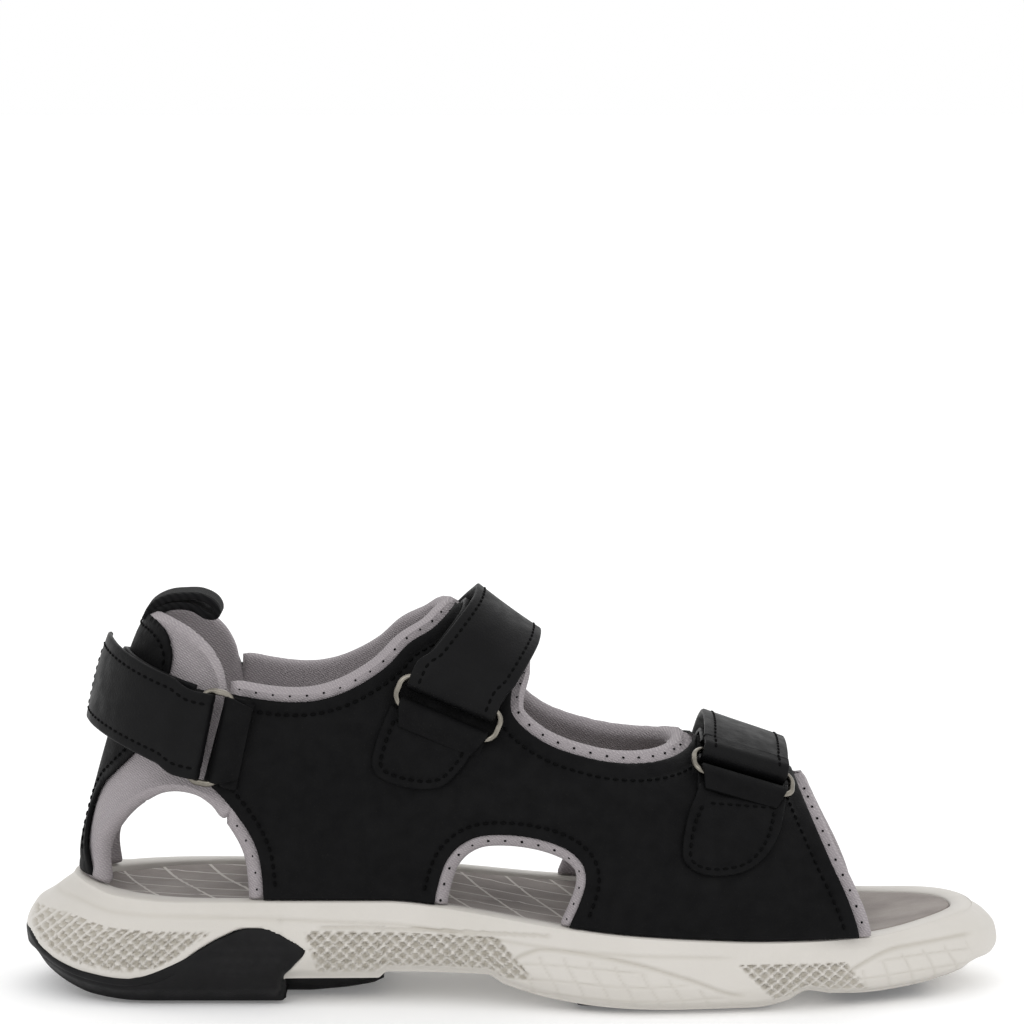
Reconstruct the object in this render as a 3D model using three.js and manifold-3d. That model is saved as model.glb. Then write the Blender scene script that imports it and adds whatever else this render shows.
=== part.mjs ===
// A strappy sport sandal for a right foot, in millimetres, +Z up.
// Toe towards +X, outer (lateral) side towards -Y, standing on z = 0.
import * as THREE from 'three';
import { mergeVertices } from 'three/addons/utils/BufferGeometryUtils.js';
import Module from 'manifold-3d';

const wasm = await Module();
wasm.setup();

// ---- Driving dimensions -------------------------------------------------
const LENGTH = 270;            // heel tip to toe tip of the sole
const BALL_HALF_WIDTH = 49;    // sole at its widest
const HEEL_HALF_WIDTH = 36;
const GAP = 0.3;               // running gap between touching pieces
const RIM_WIDTH = 6;           // top face of the midsole that carries the upper
const RIM_INSET = 2;           // rim edge in from the widest line of the wall
const FOOTBED_THICKNESS = 4;
const BOARD_THICKNESS = 1.5;
const RUBBER_WALL = 3;         // heel rubber round the midsole
const TREAD_THICKNESS = 2.4;
const TREAD_STANDOFF = 0.8;    // treads reach this far below the midsole
const TREAD_INSET = 9;

const LINING_THICKNESS = 4;
const SHELL_THICKNESS = 1.4;
const STRAP_THICKNESS = 1.5;
const LOOP_THICKNESS = 1.4;
const HOOK_THICKNESS = 1.5;
const TAB_THICKNESS = 1.5;
const BAR_RADIUS = 0.9;        // ring wire
const RING_INSET = 0.8;        // the ring's straight bars end inside the strap edges
const RING_BARS = 8.2;         // between the two bars of a ring
const FOLD_LEG = 3;            // strap past its bar before the flap starts
const PATCH_INSET = 3;         // hook and loop patches in from the strap edge
const PULL_TAB_WIDTH = 14;
const HEEL_AXIS = 60;          // the round of the heel turns about this x

// Layers outward from the foot form.
const LINING = [0, LINING_THICKNESS];
const SHELL = [LINING[1] + GAP, LINING[1] + GAP + SHELL_THICKNESS];
const STRAP = [SHELL[1] + GAP, SHELL[1] + GAP + STRAP_THICKNESS];
const LOOP = [STRAP[1] + GAP, STRAP[1] + GAP + LOOP_THICKNESS];
const HOOK = [LOOP[1] + GAP, LOOP[1] + GAP + HOOK_THICKNESS];
const FLAP = [HOOK[1] + GAP, HOOK[1] + GAP + STRAP_THICKNESS];
const TAB = [SHELL[1] + GAP, SHELL[1] + GAP + TAB_THICKNESS];
const FOLD_INNER = (FLAP[0] - STRAP[1]) / 2;
const FOLD_OUTER = FOLD_INNER + STRAP_THICKNESS;
const FOLD_OFFSET = (FLAP[0] + STRAP[1]) / 2;
const TUBE_INNER = BAR_RADIUS + GAP;
const TUBE_OUTER = TUBE_INNER + TAB_THICKNESS - 0.3;

// ---- Curves -------------------------------------------------------------
// Smooth curve through [x, value] pairs that never overshoots them.
function profile(points) {
  const slopes = points.map((p, i) => {
    if (i === 0 || i === points.length - 1) return 0;
    const a = (p[1] - points[i - 1][1]) / (p[0] - points[i - 1][0]);
    const b = (points[i + 1][1] - p[1]) / (points[i + 1][0] - p[0]);
    return a * b <= 0 ? 0 : (2 * a * b) / (a + b);
  });
  return (x) => {
    if (x <= points[0][0]) return points[0][1];
    const i = points.findIndex((p) => p[0] >= x);
    if (i < 0) return points[points.length - 1][1];
    const [x0, y0] = points[i - 1];
    const [x1, y1] = points[i];
    const h = x1 - x0;
    const t = (x - x0) / h;
    const t2 = t * t;
    const t3 = t2 * t;
    return y0 * (2 * t3 - 3 * t2 + 1) + y1 * (3 * t2 - 2 * t3)
      + h * slopes[i - 1] * (t3 - 2 * t2 + t) + h * slopes[i] * (t3 - t2);
  };
}

const along = (share) => share * LENGTH / 270;
const at = (pairs) => profile(pairs.map(([x, v]) => [along(x), v]));

const lateralWidth = at([[0, HEEL_HALF_WIDTH], [50, HEEL_HALF_WIDTH], [100, 36], [135, 42],
  [168, BALL_HALF_WIDTH], [205, 45], [235, 39], [270, 33]]);
const medialWidth = at([[0, HEEL_HALF_WIDTH], [50, HEEL_HALF_WIDTH], [108, 31], [150, 39],
  [192, BALL_HALF_WIDTH], [225, 46], [270, 42]]);
const TOE_ROUND = along(62);
const HEEL_ROUND = along(36);
function endRound(x, first, last) {
  const heel = Math.max(0, (first + HEEL_ROUND - x) / HEEL_ROUND);
  const toe = Math.max(0, (x - last + TOE_ROUND) / TOE_ROUND);
  return Math.sqrt(Math.max(0, 1 - heel ** 2)) * Math.max(0, 1 - toe ** 2.3) ** 0.45;
}

const bottomZ = at([[3, 9], [7, 6.6], [14, 3.6], [21, 1.8], [34, 0.8], [68, 0.8], [84, 3], [100, 8.6],
  [128, 8.9], [133, 6.4], [145, 3.2], [160, 1.5], [178, TREAD_STANDOFF], [200, TREAD_STANDOFF],
  [209, 2.4], [215, 4.9], [221, 3.8], [232, 3.1], [243, 3.6], [258, 5.4], [264, 7]]);
const rimZ = at([[13, 31.5], [27, 29], [49, 28.4], [101, 28.4], [115, 27.4], [149, 23],
  [187, 19.9], [204, 19], [230, 18.8], [263, 22]]);
const footbedZ = at([[14, 29.5], [30, 27.2], [101, 27], [149, 21.8], [187, 18.4], [204, 17.6],
  [231, 18.4], [262, 21.6]]);

// ---- Solids -------------------------------------------------------------
// A closed solid from rows of points, each row a closed ring of one length.
// The first and last rows are capped: by a fan, or by a strip on a thin ring.
function loft(rows, thin = false) {
  const count = rows[0].length;
  const position = rows.flat().flatMap((p) => [p.x, p.y, p.z]);
  const index = [];
  for (let r = 0; r + 1 < rows.length; r += 1) {
    for (let c = 0; c < count; c += 1) {
      const a = r * count + c;
      const b = r * count + (c + 1) % count;
      index.push(a, b, b + count, a, b + count, a + count);
    }
  }
  const last = (rows.length - 1) * count;
  for (let c = 1; !thin && c + 1 < count; c += 1) {
    index.push(0, c + 1, c, last, last + c, last + c + 1);
  }
  for (let c = 0; thin && c + 1 < count / 2; c += 1) {
    const d = count - 1 - c;
    index.push(c, d, c + 1, c + 1, d, d - 1);
    index.push(last + c, last + c + 1, last + d, last + c + 1, last + d - 1, last + d);
  }
  return solidFrom(position, index);
}

function solidFrom(position, index) {
  const geometry = new THREE.BufferGeometry();
  geometry.setAttribute('position', new THREE.Float32BufferAttribute(position, 3));
  geometry.setIndex(index);
  return solidOf(geometry);
}

function solidOf(source) {
  const bare = source.clone();
  bare.deleteAttribute('normal');
  bare.deleteAttribute('uv');
  const merged = mergeVertices(bare, 1e-4);
  const triangles = [];
  const flat = merged.index.array;
  for (let i = 0; i < flat.length; i += 3) {
    const [a, b, c] = [flat[i], flat[i + 1], flat[i + 2]];
    if (a !== b && b !== c && c !== a) triangles.push(a, b, c);
  }
  const solid = new wasm.Manifold(new wasm.Mesh({
    numProp: 3,
    vertProperties: new Float32Array(merged.attributes.position.array),
    triVerts: new Uint32Array(triangles),
  }));
  if (solid.volume() > 0) return solid;
  for (let i = 0; i < triangles.length; i += 3) {
    [triangles[i], triangles[i + 1]] = [triangles[i + 1], triangles[i]];
  }
  return new wasm.Manifold(new wasm.Mesh({
    numProp: 3,
    vertProperties: new Float32Array(merged.attributes.position.array),
    triVerts: new Uint32Array(triangles),
  }));
}

// An outline drawn in the side view (x, z), run across the sandal from y0 to y1.
function sidePrism(outline, y0, y1, segments = 6) {
  const shape = outline.isShape ? outline : outlineShape(outline);
  const geometry = new THREE.ExtrudeGeometry(shape, {
    depth: y1 - y0, bevelEnabled: false, curveSegments: segments,
  });
  geometry.rotateX(Math.PI / 2);
  geometry.translate(0, y1, 0);
  return solidOf(geometry);
}

function outlineShape(points) {
  return new THREE.Shape(points.map(([x, z]) => new THREE.Vector2(x, z)));
}

// A smooth closed outline through a few side-view points.
function smoothShape(points, steps) {
  const curve = new THREE.CatmullRomCurve3(
    points.map(([x, z]) => new THREE.Vector3(x, z, 0)), true, 'centripetal');
  return new THREE.Shape(curve.getSpacedPoints(steps).slice(0, -1)
    .map((p) => new THREE.Vector2(p.x, p.y)));
}

// Moves an outline outwards by a distance, corners mitred.
function offsetOutline(points, distance) {
  const area = points.reduce((sum, [x, z], i) => {
    const [nx, nz] = points[(i + 1) % points.length];
    return sum + x * nz - nx * z;
  }, 0);
  const side = Math.sign(area) * distance;
  return points.map(([x, z], i) => {
    const [px, pz] = points[(i + points.length - 1) % points.length];
    const [nx, nz] = points[(i + 1) % points.length];
    const a = new THREE.Vector2(z - pz, px - x).normalize();
    const b = new THREE.Vector2(nz - z, x - nx).normalize();
    const m = a.add(b).normalize();
    const stretch = Math.min(1 / Math.max(m.dot(b), 0.4), 1.5);
    return [x + m.x * side * stretch, z + m.y * side * stretch];
  });
}

// ---- Sole ---------------------------------------------------------------
// Levels up the wall: height share, heel end x, distance in from the toe tip, inset.
const WALL = [
  [0, 3, 6, 5], [0.15, 0.4, 1.2, 1.6], [0.35, 0, 0, 0], [0.6, 2.5, 0.6, 0.6],
  [0.8, 8, 3, 1.3], [1, 13.5, 7, RIM_INSET],
];
const STATIONS = 28;
const station = (i) => (1 - Math.cos(Math.PI * i / STATIONS)) / 2;

function soleSection(i, inset, lift) {
  const left = [];
  const right = [];
  WALL.forEach(([share, heel, toe, wallInset]) => {
    const first = along(heel) + inset;
    const end = LENGTH - toe - inset;
    const x = first + (end - first) * station(i);
    const round = endRound(x, first, end);
    const low = bottomZ(x) + lift;
    const z = low + (rimZ(x) - low) * share;
    left.push(new THREE.Vector3(x, -(lateralWidth(x) - wallInset - inset) * round, z));
    right.unshift(new THREE.Vector3(x, (medialWidth(x) - wallInset - inset) * round, z));
  });
  return [...left.reverse(), ...right.reverse()];
}

const soleBlock = (inset, lift) => loft(
  Array.from({ length: STATIONS + 1 }, (_, i) => soleSection(i, inset, lift)));

// A plate with the sole's plan, drawn in by an inset, between two heights.
function solePlate(inset, lowZ, highZ, from = 0, to = LENGTH, steps = 30) {
  const first = Math.max(from, along(WALL[5][1]) - RIM_INSET + inset);
  const end = Math.min(to, LENGTH - WALL[5][2] + RIM_INSET - inset);
  const whole = [along(WALL[5][1]) - RIM_INSET + inset, LENGTH - WALL[5][2] + RIM_INSET - inset];
  const rows = [];
  for (let i = 0; i <= steps; i += 1) {
    const x = first + (end - first) * (1 - Math.cos(Math.PI * i / steps)) / 2;
    const round = Math.max(endRound(x, whole[0], whole[1]), 0.002);
    const left = -(lateralWidth(x) - inset) * round;
    const right = (medialWidth(x) - inset) * round;
    rows.push([
      new THREE.Vector3(x, left, highZ(x)), new THREE.Vector3(x, left, lowZ(x)),
      new THREE.Vector3(x, right, lowZ(x)), new THREE.Vector3(x, right, highZ(x)),
    ]);
  }
  return loft(rows);
}

const CAVITY_INSET = RIM_INSET + RIM_WIDTH;
const boardTop = (x) => footbedZ(x) - FOOTBED_THICKNESS - GAP;
const boardBottom = (x) => boardTop(x) - BOARD_THICKNESS;

// Side view of the heel rubber: up round the heel, down the fin, under the arch.
const RUBBER_OUTLINE = [[-5, 16.8], [1, 17.2], [6, 13], [12, 10.5], [20, 8.6], [30, 7.6],
  [37, 8.5], [44, 11.6], [50, 16], [56, 19.4], [62, 21.6], [66, 21.6], [71, 20], [76, 17.5],
  [79.5, 15.5], [76, 10.5], [73.5, 6.8], [73.5, -5], [-5, -5]];
const TONGUE_OUTLINE = [[70, 6.8], [82, 6.2], [92, 6.9], [99, 6.9], [99.8, 4.4], [97, 3],
  [90, 1.8], [80, 0.9], [70, 0]];
const TONGUE_HALF_WIDTH = 20;

function rubberAndMidsole() {
  const outer = soleBlock(0, 0);
  const core = soleBlock(RUBBER_WALL, RUBBER_WALL + 1);
  const coreSmall = soleBlock(RUBBER_WALL + GAP, RUBBER_WALL + 1 + GAP);
  const zone = sidePrism(RUBBER_OUTLINE, -60, 60);
  const zoneGrown = sidePrism(offsetOutline(RUBBER_OUTLINE, GAP), -60, 60);
  const pad = solePlate(TREAD_INSET, () => 0, () => RUBBER_WALL, along(26), along(72), 16);
  const tongue = sidePrism(TONGUE_OUTLINE, -TONGUE_HALF_WIDTH, TONGUE_HALF_WIDTH);
  const tongueRoom = sidePrism(offsetOutline(TONGUE_OUTLINE, GAP), -TONGUE_HALF_WIDTH - GAP,
    TONGUE_HALF_WIDTH + GAP);
  const rubber = outer.intersect(zone).subtract(core).add(pad).add(tongue);
  const body = outer.subtract(zoneGrown.subtract(coreSmall)).subtract(tongueRoom);
  const cavity = solePlate(CAVITY_INSET, (x) => boardBottom(x) - GAP, (x) => rimZ(x) + 20);
  return [rubber, body.subtract(cavity)];
}

const treadBottom = () => 0;
const treadTop = () => TREAD_THICKNESS;
const forefootPad = (grow) => solePlate(TREAD_INSET - grow, treadBottom,
  (x) => treadTop(x) + grow, along(152) - grow, along(205) + grow, 12);
const toePad = (grow) => solePlate(TREAD_INSET - grow, (x) => bottomZ(x) - TREAD_STANDOFF,
  (x) => bottomZ(x) + TREAD_THICKNESS - TREAD_STANDOFF + grow, along(222) - grow, along(250) + grow, 8);

// ---- Foot form ----------------------------------------------------------
const FORM_FLOOR = 18;
const ridgeZ = at([[40, 158], [60, 152], [80, 138], [100, 117], [118.6, 100.8], [136, 88.1],
  [160, 74], [184, 63.4], [206, 55.5], [230, 46.5], [262, 38]]);
const heelBack = profile([[FORM_FLOOR, 20.5], [27, 20.2], [37, 20.5], [48, 23], [60, 26.2],
  [70, 29], [85, 32.5], [95, 36], [104, 40.5], [112, 44]]);
const formHalf = (x) => (lateralWidth(x) + medialWidth(x)) / 2 - CAVITY_INSET;
const formMiddle = (x) => (medialWidth(x) - lateralWidth(x)) / 2;
const RIB_POWER = 2 / 2.3;

// Point of the form: s runs from the back of the heel (0) to the toe, and
// turn from the outer floor (-1) over the ridge (0) to the inner floor (1).
function formPoint(s, turn) {
  const x = Math.max(s, along(HEEL_AXIS));
  const side = Math.sign(turn) || 1;
  const angle = (1 - Math.abs(turn)) * Math.PI / 2;
  const z = FORM_FLOOR + (ridgeZ(x) - FORM_FLOOR) * Math.sin(angle) ** RIB_POWER;
  const reach = formHalf(x) * Math.cos(angle) ** RIB_POWER;
  if (s >= along(HEEL_AXIS)) return new THREE.Vector3(s, formMiddle(x) + side * reach, z);
  const fan = (s / along(HEEL_AXIS)) * Math.PI / 2;
  const back = along(HEEL_AXIS - heelBack(z));
  return new THREE.Vector3(along(HEEL_AXIS) - back * Math.cos(fan), side * reach * Math.sin(fan), z);
}

function formNormal(s, turn) {
  const u = Math.max(s, 0.4);
  const t = Math.min(Math.max(turn, -0.98), 0.98);
  const ds = formPoint(u + 0.3, t).sub(formPoint(u - 0.3, t));
  const dt = formPoint(u, t + 0.004).sub(formPoint(u, t - 0.004));
  const normal = new THREE.Vector3().crossVectors(dt, ds).normalize();
  const point = formPoint(u, t);
  const middle = new THREE.Vector3(Math.max(s, along(HEEL_AXIS)), formMiddle(point.x), FORM_FLOOR);
  return normal.dot(point.sub(middle)) < 0 ? normal.negate() : normal;
}

const offsetPoint = (s, turn, away) => formPoint(s, turn).addScaledVector(formNormal(s, turn), away);

// The turn at which the form reaches height z at s, on one side.
function turnAt(s, z, side) {
  const x = Math.max(s, along(HEEL_AXIS));
  const share = Math.min(Math.max((z - FORM_FLOOR) / (ridgeZ(x) - FORM_FLOOR), 0), 1);
  return side * (1 - Math.asin(share ** (1 / RIB_POWER)) / (Math.PI / 2));
}

// A curved solid sheet: place(a, b, away) gives the point at shares a and b
// of its two directions, at a distance away from the form.
function sheet([low, high], place, aSteps, bSteps) {
  const rows = [];
  for (let i = 0; i <= aSteps; i += 1) {
    const outer = [];
    const inner = [];
    for (let j = 0; j <= bSteps; j += 1) {
      outer.push(place(i / aSteps, j / bSteps, high));
      inner.unshift(place(i / aSteps, j / bSteps, low));
    }
    rows.push([...outer, ...inner]);
  }
  return loft(rows, true);
}

const between = (low, high, share) => low + (high - low) * share;

// A sheet over ribs s0 to s1 and turns t0 to t1.
const ribSheet = (layer, s0, s1, t0, t1, sSteps, tSteps) => sheet(layer,
  (a, b, away) => offsetPoint(between(s0, s1, a), between(t0, t1, b), away), sSteps, tSteps);

// A sheet round the back of the heel, from the outer side to the inner side.
const heelSheet = (layer, reach, z0, z1, steps, zSteps) => sheet(layer, (a, b, away) => {
  const q = between(-reach, reach, a);
  return offsetPoint(Math.abs(q), turnAt(Math.abs(q), between(z0, z1, b), q < 0 ? -1 : 1), away);
}, steps, zSteps);

// ---- Outlines of the upper, in the side view (x, z) ------------------------
const scaled = (outline) => outline.map(([x, z]) => [along(x), z]);

const QUARTER = scaled([[67.7, 15], [67.3, 34.5], [66.1, 41.8], [64, 46.7], [60.8, 51.6],
  [57.5, 55.7], [53.8, 59.4], [51.6, 61], [57.9, 85], [67.2, 83.2], [75.5, 82.4], [82, 82.8],
  [88.5, 84.5], [95.9, 88.1], [101.5, 92], [107, 97.5], [113.3, 101], [119, 106], [138, 92],
  [134.8, 84], [134.9, 78.8], [137.8, 75.3], [142.7, 71.8], [147.6, 69.5], [154.1, 67.5],
  [160.7, 66], [168.8, 65.2], [176.2, 65.4], [181.9, 66.7], [187.1, 69.5], [190, 74], [207, 68],
  [212, 59.5], [213.4, 56.2], [216.7, 48.7], [220.7, 39.8], [225.3, 30.1], [228.2, 22], [229.5, 15]]);
const WINDOW = scaled([[114.1, 27.4], [115.3, 33.9], [117.4, 39.7], [120.7, 43.7], [125.5, 46.4],
  [131.3, 47.2], [139.4, 46.8], [146, 45.4], [150.9, 43.3], [154.3, 39.7], [154.9, 35.6],
  [153.3, 29.9], [150.5, 23.3], [146, 10], [117, 10]]);
const COUNTER = scaled([[5, 15], [20.8, 15], [20, 30.3], [17.6, 40], [18, 47], [21.9, 55.6],
  [25.8, 60], [32.4, 67.1], [39.3, 80.5], [42.1, 90.5], [42.4, 94], [40.4, 98.6], [37, 100.8],
  [33, 101.2], [5, 101.2]]);
const HEEL_LINING = scaled([[8, 15], [25.5, 15], [24.5, 30], [24, 40], [28, 47], [34, 53],
  [42, 58.5], [50, 60], [50, 87.5], [55, 90], [53.5, 95], [50.5, 98.6], [46.5, 101.5],
  [41.5, 103], [36, 103], [8, 106]]);
const LINING_PROUD = 4;        // lining past the shell's free edges
const WINDOW_PROUD = 3;
const LINING_SEAM = along(50); // heel lining meets the quarter linings here
const OUTER_SIDE = [-80, 0];
const INNER_SIDE = [0, 80];

function aboveRim() {
  const xs = Array.from({ length: 41 }, (_, i) => between(along(8), LENGTH - 3, i / 40));
  return sidePrism([...xs.map((x) => [x, rimZ(x) + GAP]), [LENGTH, 200], [0, 200]], -80, 80);
}

const quarterBlank = (layer, side) => ribSheet(layer, along(38), along(236),
  side, side * 0.1, 24, 7);
const heelBlank = (layer) => heelSheet(layer, along(60), 17, 108, 20, 7);

// All the room that the lining and shells take, with a little clearance.
function upperRoom() {
  const layer = [0.2, SHELL[1] + GAP * 0.9];
  return quarterBlank(layer, -1).add(quarterBlank(layer, 1)).add(heelBlank(layer));
}

function quarterPair(side) {
  const [y0, y1] = side < 0 ? OUTER_SIDE : INNER_SIDE;
  const shell = quarterBlank(SHELL, side)
    .intersect(sidePrism(QUARTER, y0, y1))
    .subtract(sidePrism(WINDOW, y0, y1))
    .intersect(aboveRim());
  const seam = sidePrism([[LINING_SEAM + GAP / 2, 10], [LENGTH, 10], [LENGTH, 200],
    [LINING_SEAM + GAP / 2, 200]], y0, y1);
  const lining = quarterBlank(LINING, side)
    .intersect(sidePrism(offsetOutline(QUARTER, LINING_PROUD), y0, y1))
    .subtract(sidePrism(offsetOutline(WINDOW, -WINDOW_PROUD), y0, y1))
    .intersect(aboveRim())
    .intersect(seam);
  return [shell, lining];
}

function heelPair() {
  const counter = heelBlank(SHELL)
    .intersect(sidePrism(COUNTER, -80, 80))
    .intersect(aboveRim());
  const lining = heelBlank(LINING)
    .intersect(sidePrism(HEEL_LINING, -80, 80))
    .intersect(sidePrism([[0, 10], [LINING_SEAM - GAP / 2, 10], [LINING_SEAM - GAP / 2, 200], [0, 200]], -80, 80))
    .intersect(aboveRim());
  return [counter, lining];
}

// ---- Straps -------------------------------------------------------------
// fold: the two ends of the strap's bar, top: the strap's ends over the foot,
// inner: where the sewn end stops on the inner side, free: where the flap stops.
const STRAPS = {
  heel: {
    fold: scaled([[47.2, 62.7], [52, 85.9]]), top: scaled([[5, 78.2], [5, 102.3]]),
    inner: scaled([[62, 57.5], [66.5, 80.5]]), free: scaled([[9, 76.6], [9, 101]]),
  },
  instep: {
    fold: scaled([[107.6, 89.7], [131.1, 80]]), top: scaled([[133, 119], [158, 119]]),
    inner: scaled([[99, 80], [123.5, 69]]), free: scaled([[117.5, 101.5], [137.5, 89.5]]),
  },
  toe: {
    fold: scaled([[186.7, 68.2], [209.9, 60.8]]), top: scaled([[189.5, 82], [213, 76]]),
    inner: scaled([[184, 49], [207.5, 42]]), free: scaled([[185.8, 61], [209.2, 54]]),
  },
};

function settle(x, z, away, side) {
  let s = x;
  let height = z;
  for (let i = 0; i < 60; i += 1) {
    const p = offsetPoint(s, turnAt(s, height, side), away);
    s += (x - p.x) * 0.5;
    height += (z - p.z) * 0.5;
  }
  return offsetPoint(s, turnAt(s, height, side), away);
}

// The frame of a bar: across along the bar, out from the foot, down the strap.
function barFrame(name, away, slide = 0) {
  const { fold, top } = STRAPS[name];
  const ends = fold.map(([x, z]) => settle(x, z, away, -1));
  const across = ends[1].clone().sub(ends[0]);
  const width = across.length();
  across.normalize();
  const mid = settle((fold[0][0] + fold[1][0]) / 2, (fold[0][1] + fold[1][1]) / 2, away, -1);
  const probe = settle((fold[0][0] + fold[1][0]) / 2 * 0.98 + (top[0][0] + top[1][0]) * 0.01,
    (fold[0][1] + fold[1][1]) / 2 * 0.98 + (top[0][1] + top[1][1]) * 0.01, away, -1);
  const down = mid.clone().sub(probe);
  down.addScaledVector(across, -down.dot(across)).normalize();
  const out = new THREE.Vector3().crossVectors(across, down).normalize();
  if (out.y > 0) out.negate();
  mid.addScaledVector(down, slide);
  return { mid, across, down, out, width };
}

// A profile drawn in (down, out) round a bar, run along the bar.
function alongBar(frame, shape, width, segments = 6) {
  const geometry = new THREE.ExtrudeGeometry(shape, {
    depth: width, bevelEnabled: false, curveSegments: segments,
  });
  geometry.translate(0, 0, -width / 2);
  const axis = new THREE.Vector3().crossVectors(frame.down, frame.out);
  geometry.applyMatrix4(new THREE.Matrix4().makeBasis(frame.down, frame.out, axis)
    .setPosition(frame.mid));
  return solidOf(geometry);
}

function foldShape() {
  const shape = new THREE.Shape();
  shape.moveTo(-FOLD_LEG, FOLD_OUTER);
  shape.lineTo(0, FOLD_OUTER);
  shape.absarc(0, 0, FOLD_OUTER, Math.PI / 2, -Math.PI / 2, true);
  shape.lineTo(-FOLD_LEG, -FOLD_OUTER);
  shape.lineTo(-FOLD_LEG, -FOLD_INNER);
  shape.lineTo(0, -FOLD_INNER);
  shape.absarc(0, 0, FOLD_INNER, -Math.PI / 2, Math.PI / 2, false);
  shape.lineTo(-FOLD_LEG, FOLD_INNER);
  return shape;
}

// The room between two distances down the strap from a bar.
function strapRoom(frame, from, to) {
  return alongBar(frame, outlineShape([[from, -90], [to, -90], [to, 90], [from, 90]]), 200);
}

// A band between two layers, from the fold over the foot to its far end.
function band(name, layer, start, edge, far) {
  const { fold, top } = STRAPS[name];
  const inward = (a, b) => [between(a[0], b[0], edge), between(a[1], b[1], edge)];
  const outline = (low) => [inward(low[0], low[1]), inward(low[1], low[0]),
    inward(top[1], top[0]), inward(top[0], top[1])];
  const past = fold.map(([x, z], i) => [between(x, top[i][0], -0.3), between(z, top[i][1], -0.3)]);
  const outer = sidePrism(outline(past), -80, 0.01)
    .intersect(strapRoom(barFrame(name, FOLD_OFFSET), -200, -start));
  const inner = sidePrism(outline(STRAPS[name][far]), -0.01, 80);
  const middle = (fold[0][0] + fold[1][0]) / 2;
  const blank = name === 'heel'
    ? heelSheet(layer, along(76), 40, 112, 24, 5)
    : ribSheet(layer, middle - 26, middle + 30, -0.96, 0.96, 6, 22);
  return blank.intersect(outer.add(inner));
}

// The bar that holds the ring in its tab, a ring's length down from the fold.
function tabFrame(name) {
  const frame = barFrame(name, FOLD_OFFSET);
  const aim = frame.mid.clone().addScaledVector(frame.down, RING_BARS);
  const seat = settle(aim.x, aim.z, TAB[0] + TUBE_OUTER, -1);
  const down = seat.sub(frame.mid);
  down.addScaledVector(frame.across, -down.dot(frame.across)).normalize();
  const out = new THREE.Vector3().crossVectors(frame.across, down).normalize();
  if (out.y > 0) out.negate();
  const mid = frame.mid.clone().addScaledVector(down, RING_BARS);
  return { ...frame, mid, down, out };
}

function strapBase(name) {
  const frame = barFrame(name, FOLD_OFFSET);
  return band(name, STRAP, 0.5, 0, 'inner')
    .add(alongBar(frame, foldShape(), frame.width))
    .subtract(upperRoom());
}

function circle(radius) {
  return new THREE.Shape().absarc(0, 0, radius, 0, 2 * Math.PI, false);
}

const TAB_OUTLINES = {
  heel: scaled([[50, 61.5], [55, 85.5], [65.5, 81.8], [60.6, 58.6]]),
  instep: scaled([[129, 81], [106, 90], [97.4, 69.3], [97, 65.5], [98.4, 62.6], [101.5, 60.8],
    [107, 59.3], [112.6, 58.9], [117, 60], [120, 62.6], [123.7, 67.5], [126.5, 74.3]]),
  toe: scaled([[211.5, 61], [187.5, 68], [184, 56], [182.3, 52.8], [180.4, 44.4], [180.7, 41], [183.2, 38.4],
    [187.8, 36.8], [193.8, 36.8], [198.8, 38], [203.5, 41.4], [206.9, 46.5], [209, 53.4]]),
};

function ringTab(name) {
  const frame = tabFrame(name);
  const middle = frame.mid.x;
  const plate = ribSheet(TAB, middle - 18, middle + 18, -1, -0.1, 5, 7)
    .intersect(sidePrism(TAB_OUTLINES[name], ...OUTER_SIDE))
    .intersect(strapRoom(frame, 0, 100));
  const tube = alongBar(frame, circle(TUBE_OUTER), frame.width, 16);
  const bore = alongBar(frame, circle(TUBE_INNER), frame.width + 20, 12);
  return plate.add(tube).subtract(bore).subtract(upperRoom());
}

function ring(name) {
  const { mid, across, down, width } = tabFrame(name);
  const geometry = new THREE.TorusGeometry(RING_BARS / 2, BAR_RADIUS, 8, 20);
  geometry.rotateZ(Math.PI / 20);
  const position = geometry.attributes.position;
  const straight = width / 2 - RING_INSET;
  for (let i = 0; i < position.count; i += 1) {
    position.setX(i, position.getX(i) + Math.sign(position.getX(i)) * straight);
  }
  const centre = mid.clone().addScaledVector(down, -RING_BARS / 2);
  const lift = new THREE.Vector3().crossVectors(across, down);
  geometry.applyMatrix4(new THREE.Matrix4().makeBasis(across, down, lift).setPosition(centre));
  return solidOf(geometry);
}

const PULL_TAB = scaled([[33.2, 101.6], [34.8, 104.6], [38.4, 107.4], [43, 108.8], [50, 109],
  [54.5, 105.6], [54.3, 102], [50.6, 102.3], [47.5, 104.4], [43, 104.9], [38.4, 104.2], [35.4, 103.2],
  [34.8, 101.6]]);

// ---- Assembly -----------------------------------------------------------
const FINISHES = {
  foam: { color: 0xd2cfc8, roughness: 0.62, metalness: 0 },
  rubber: { color: 0x212023, roughness: 0.6, metalness: 0 },
  upper: { color: 0x1b1a1d, roughness: 0.68, metalness: 0 },
  lining: { color: 0x9e979a, roughness: 0.95, metalness: 0 },
  footbed: { color: 0x8d8784, roughness: 0.9, metalness: 0 },
  board: { color: 0x9a7b52, roughness: 0.95, metalness: 0 },
  nickel: { color: 0xb9b6ad, roughness: 0.3, metalness: 1 },
  webbing: { color: 0x121212, roughness: 0.85, metalness: 0 },
};

const sandal = new THREE.Group();
sandal.position.x = -LENGTH / 2;

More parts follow.
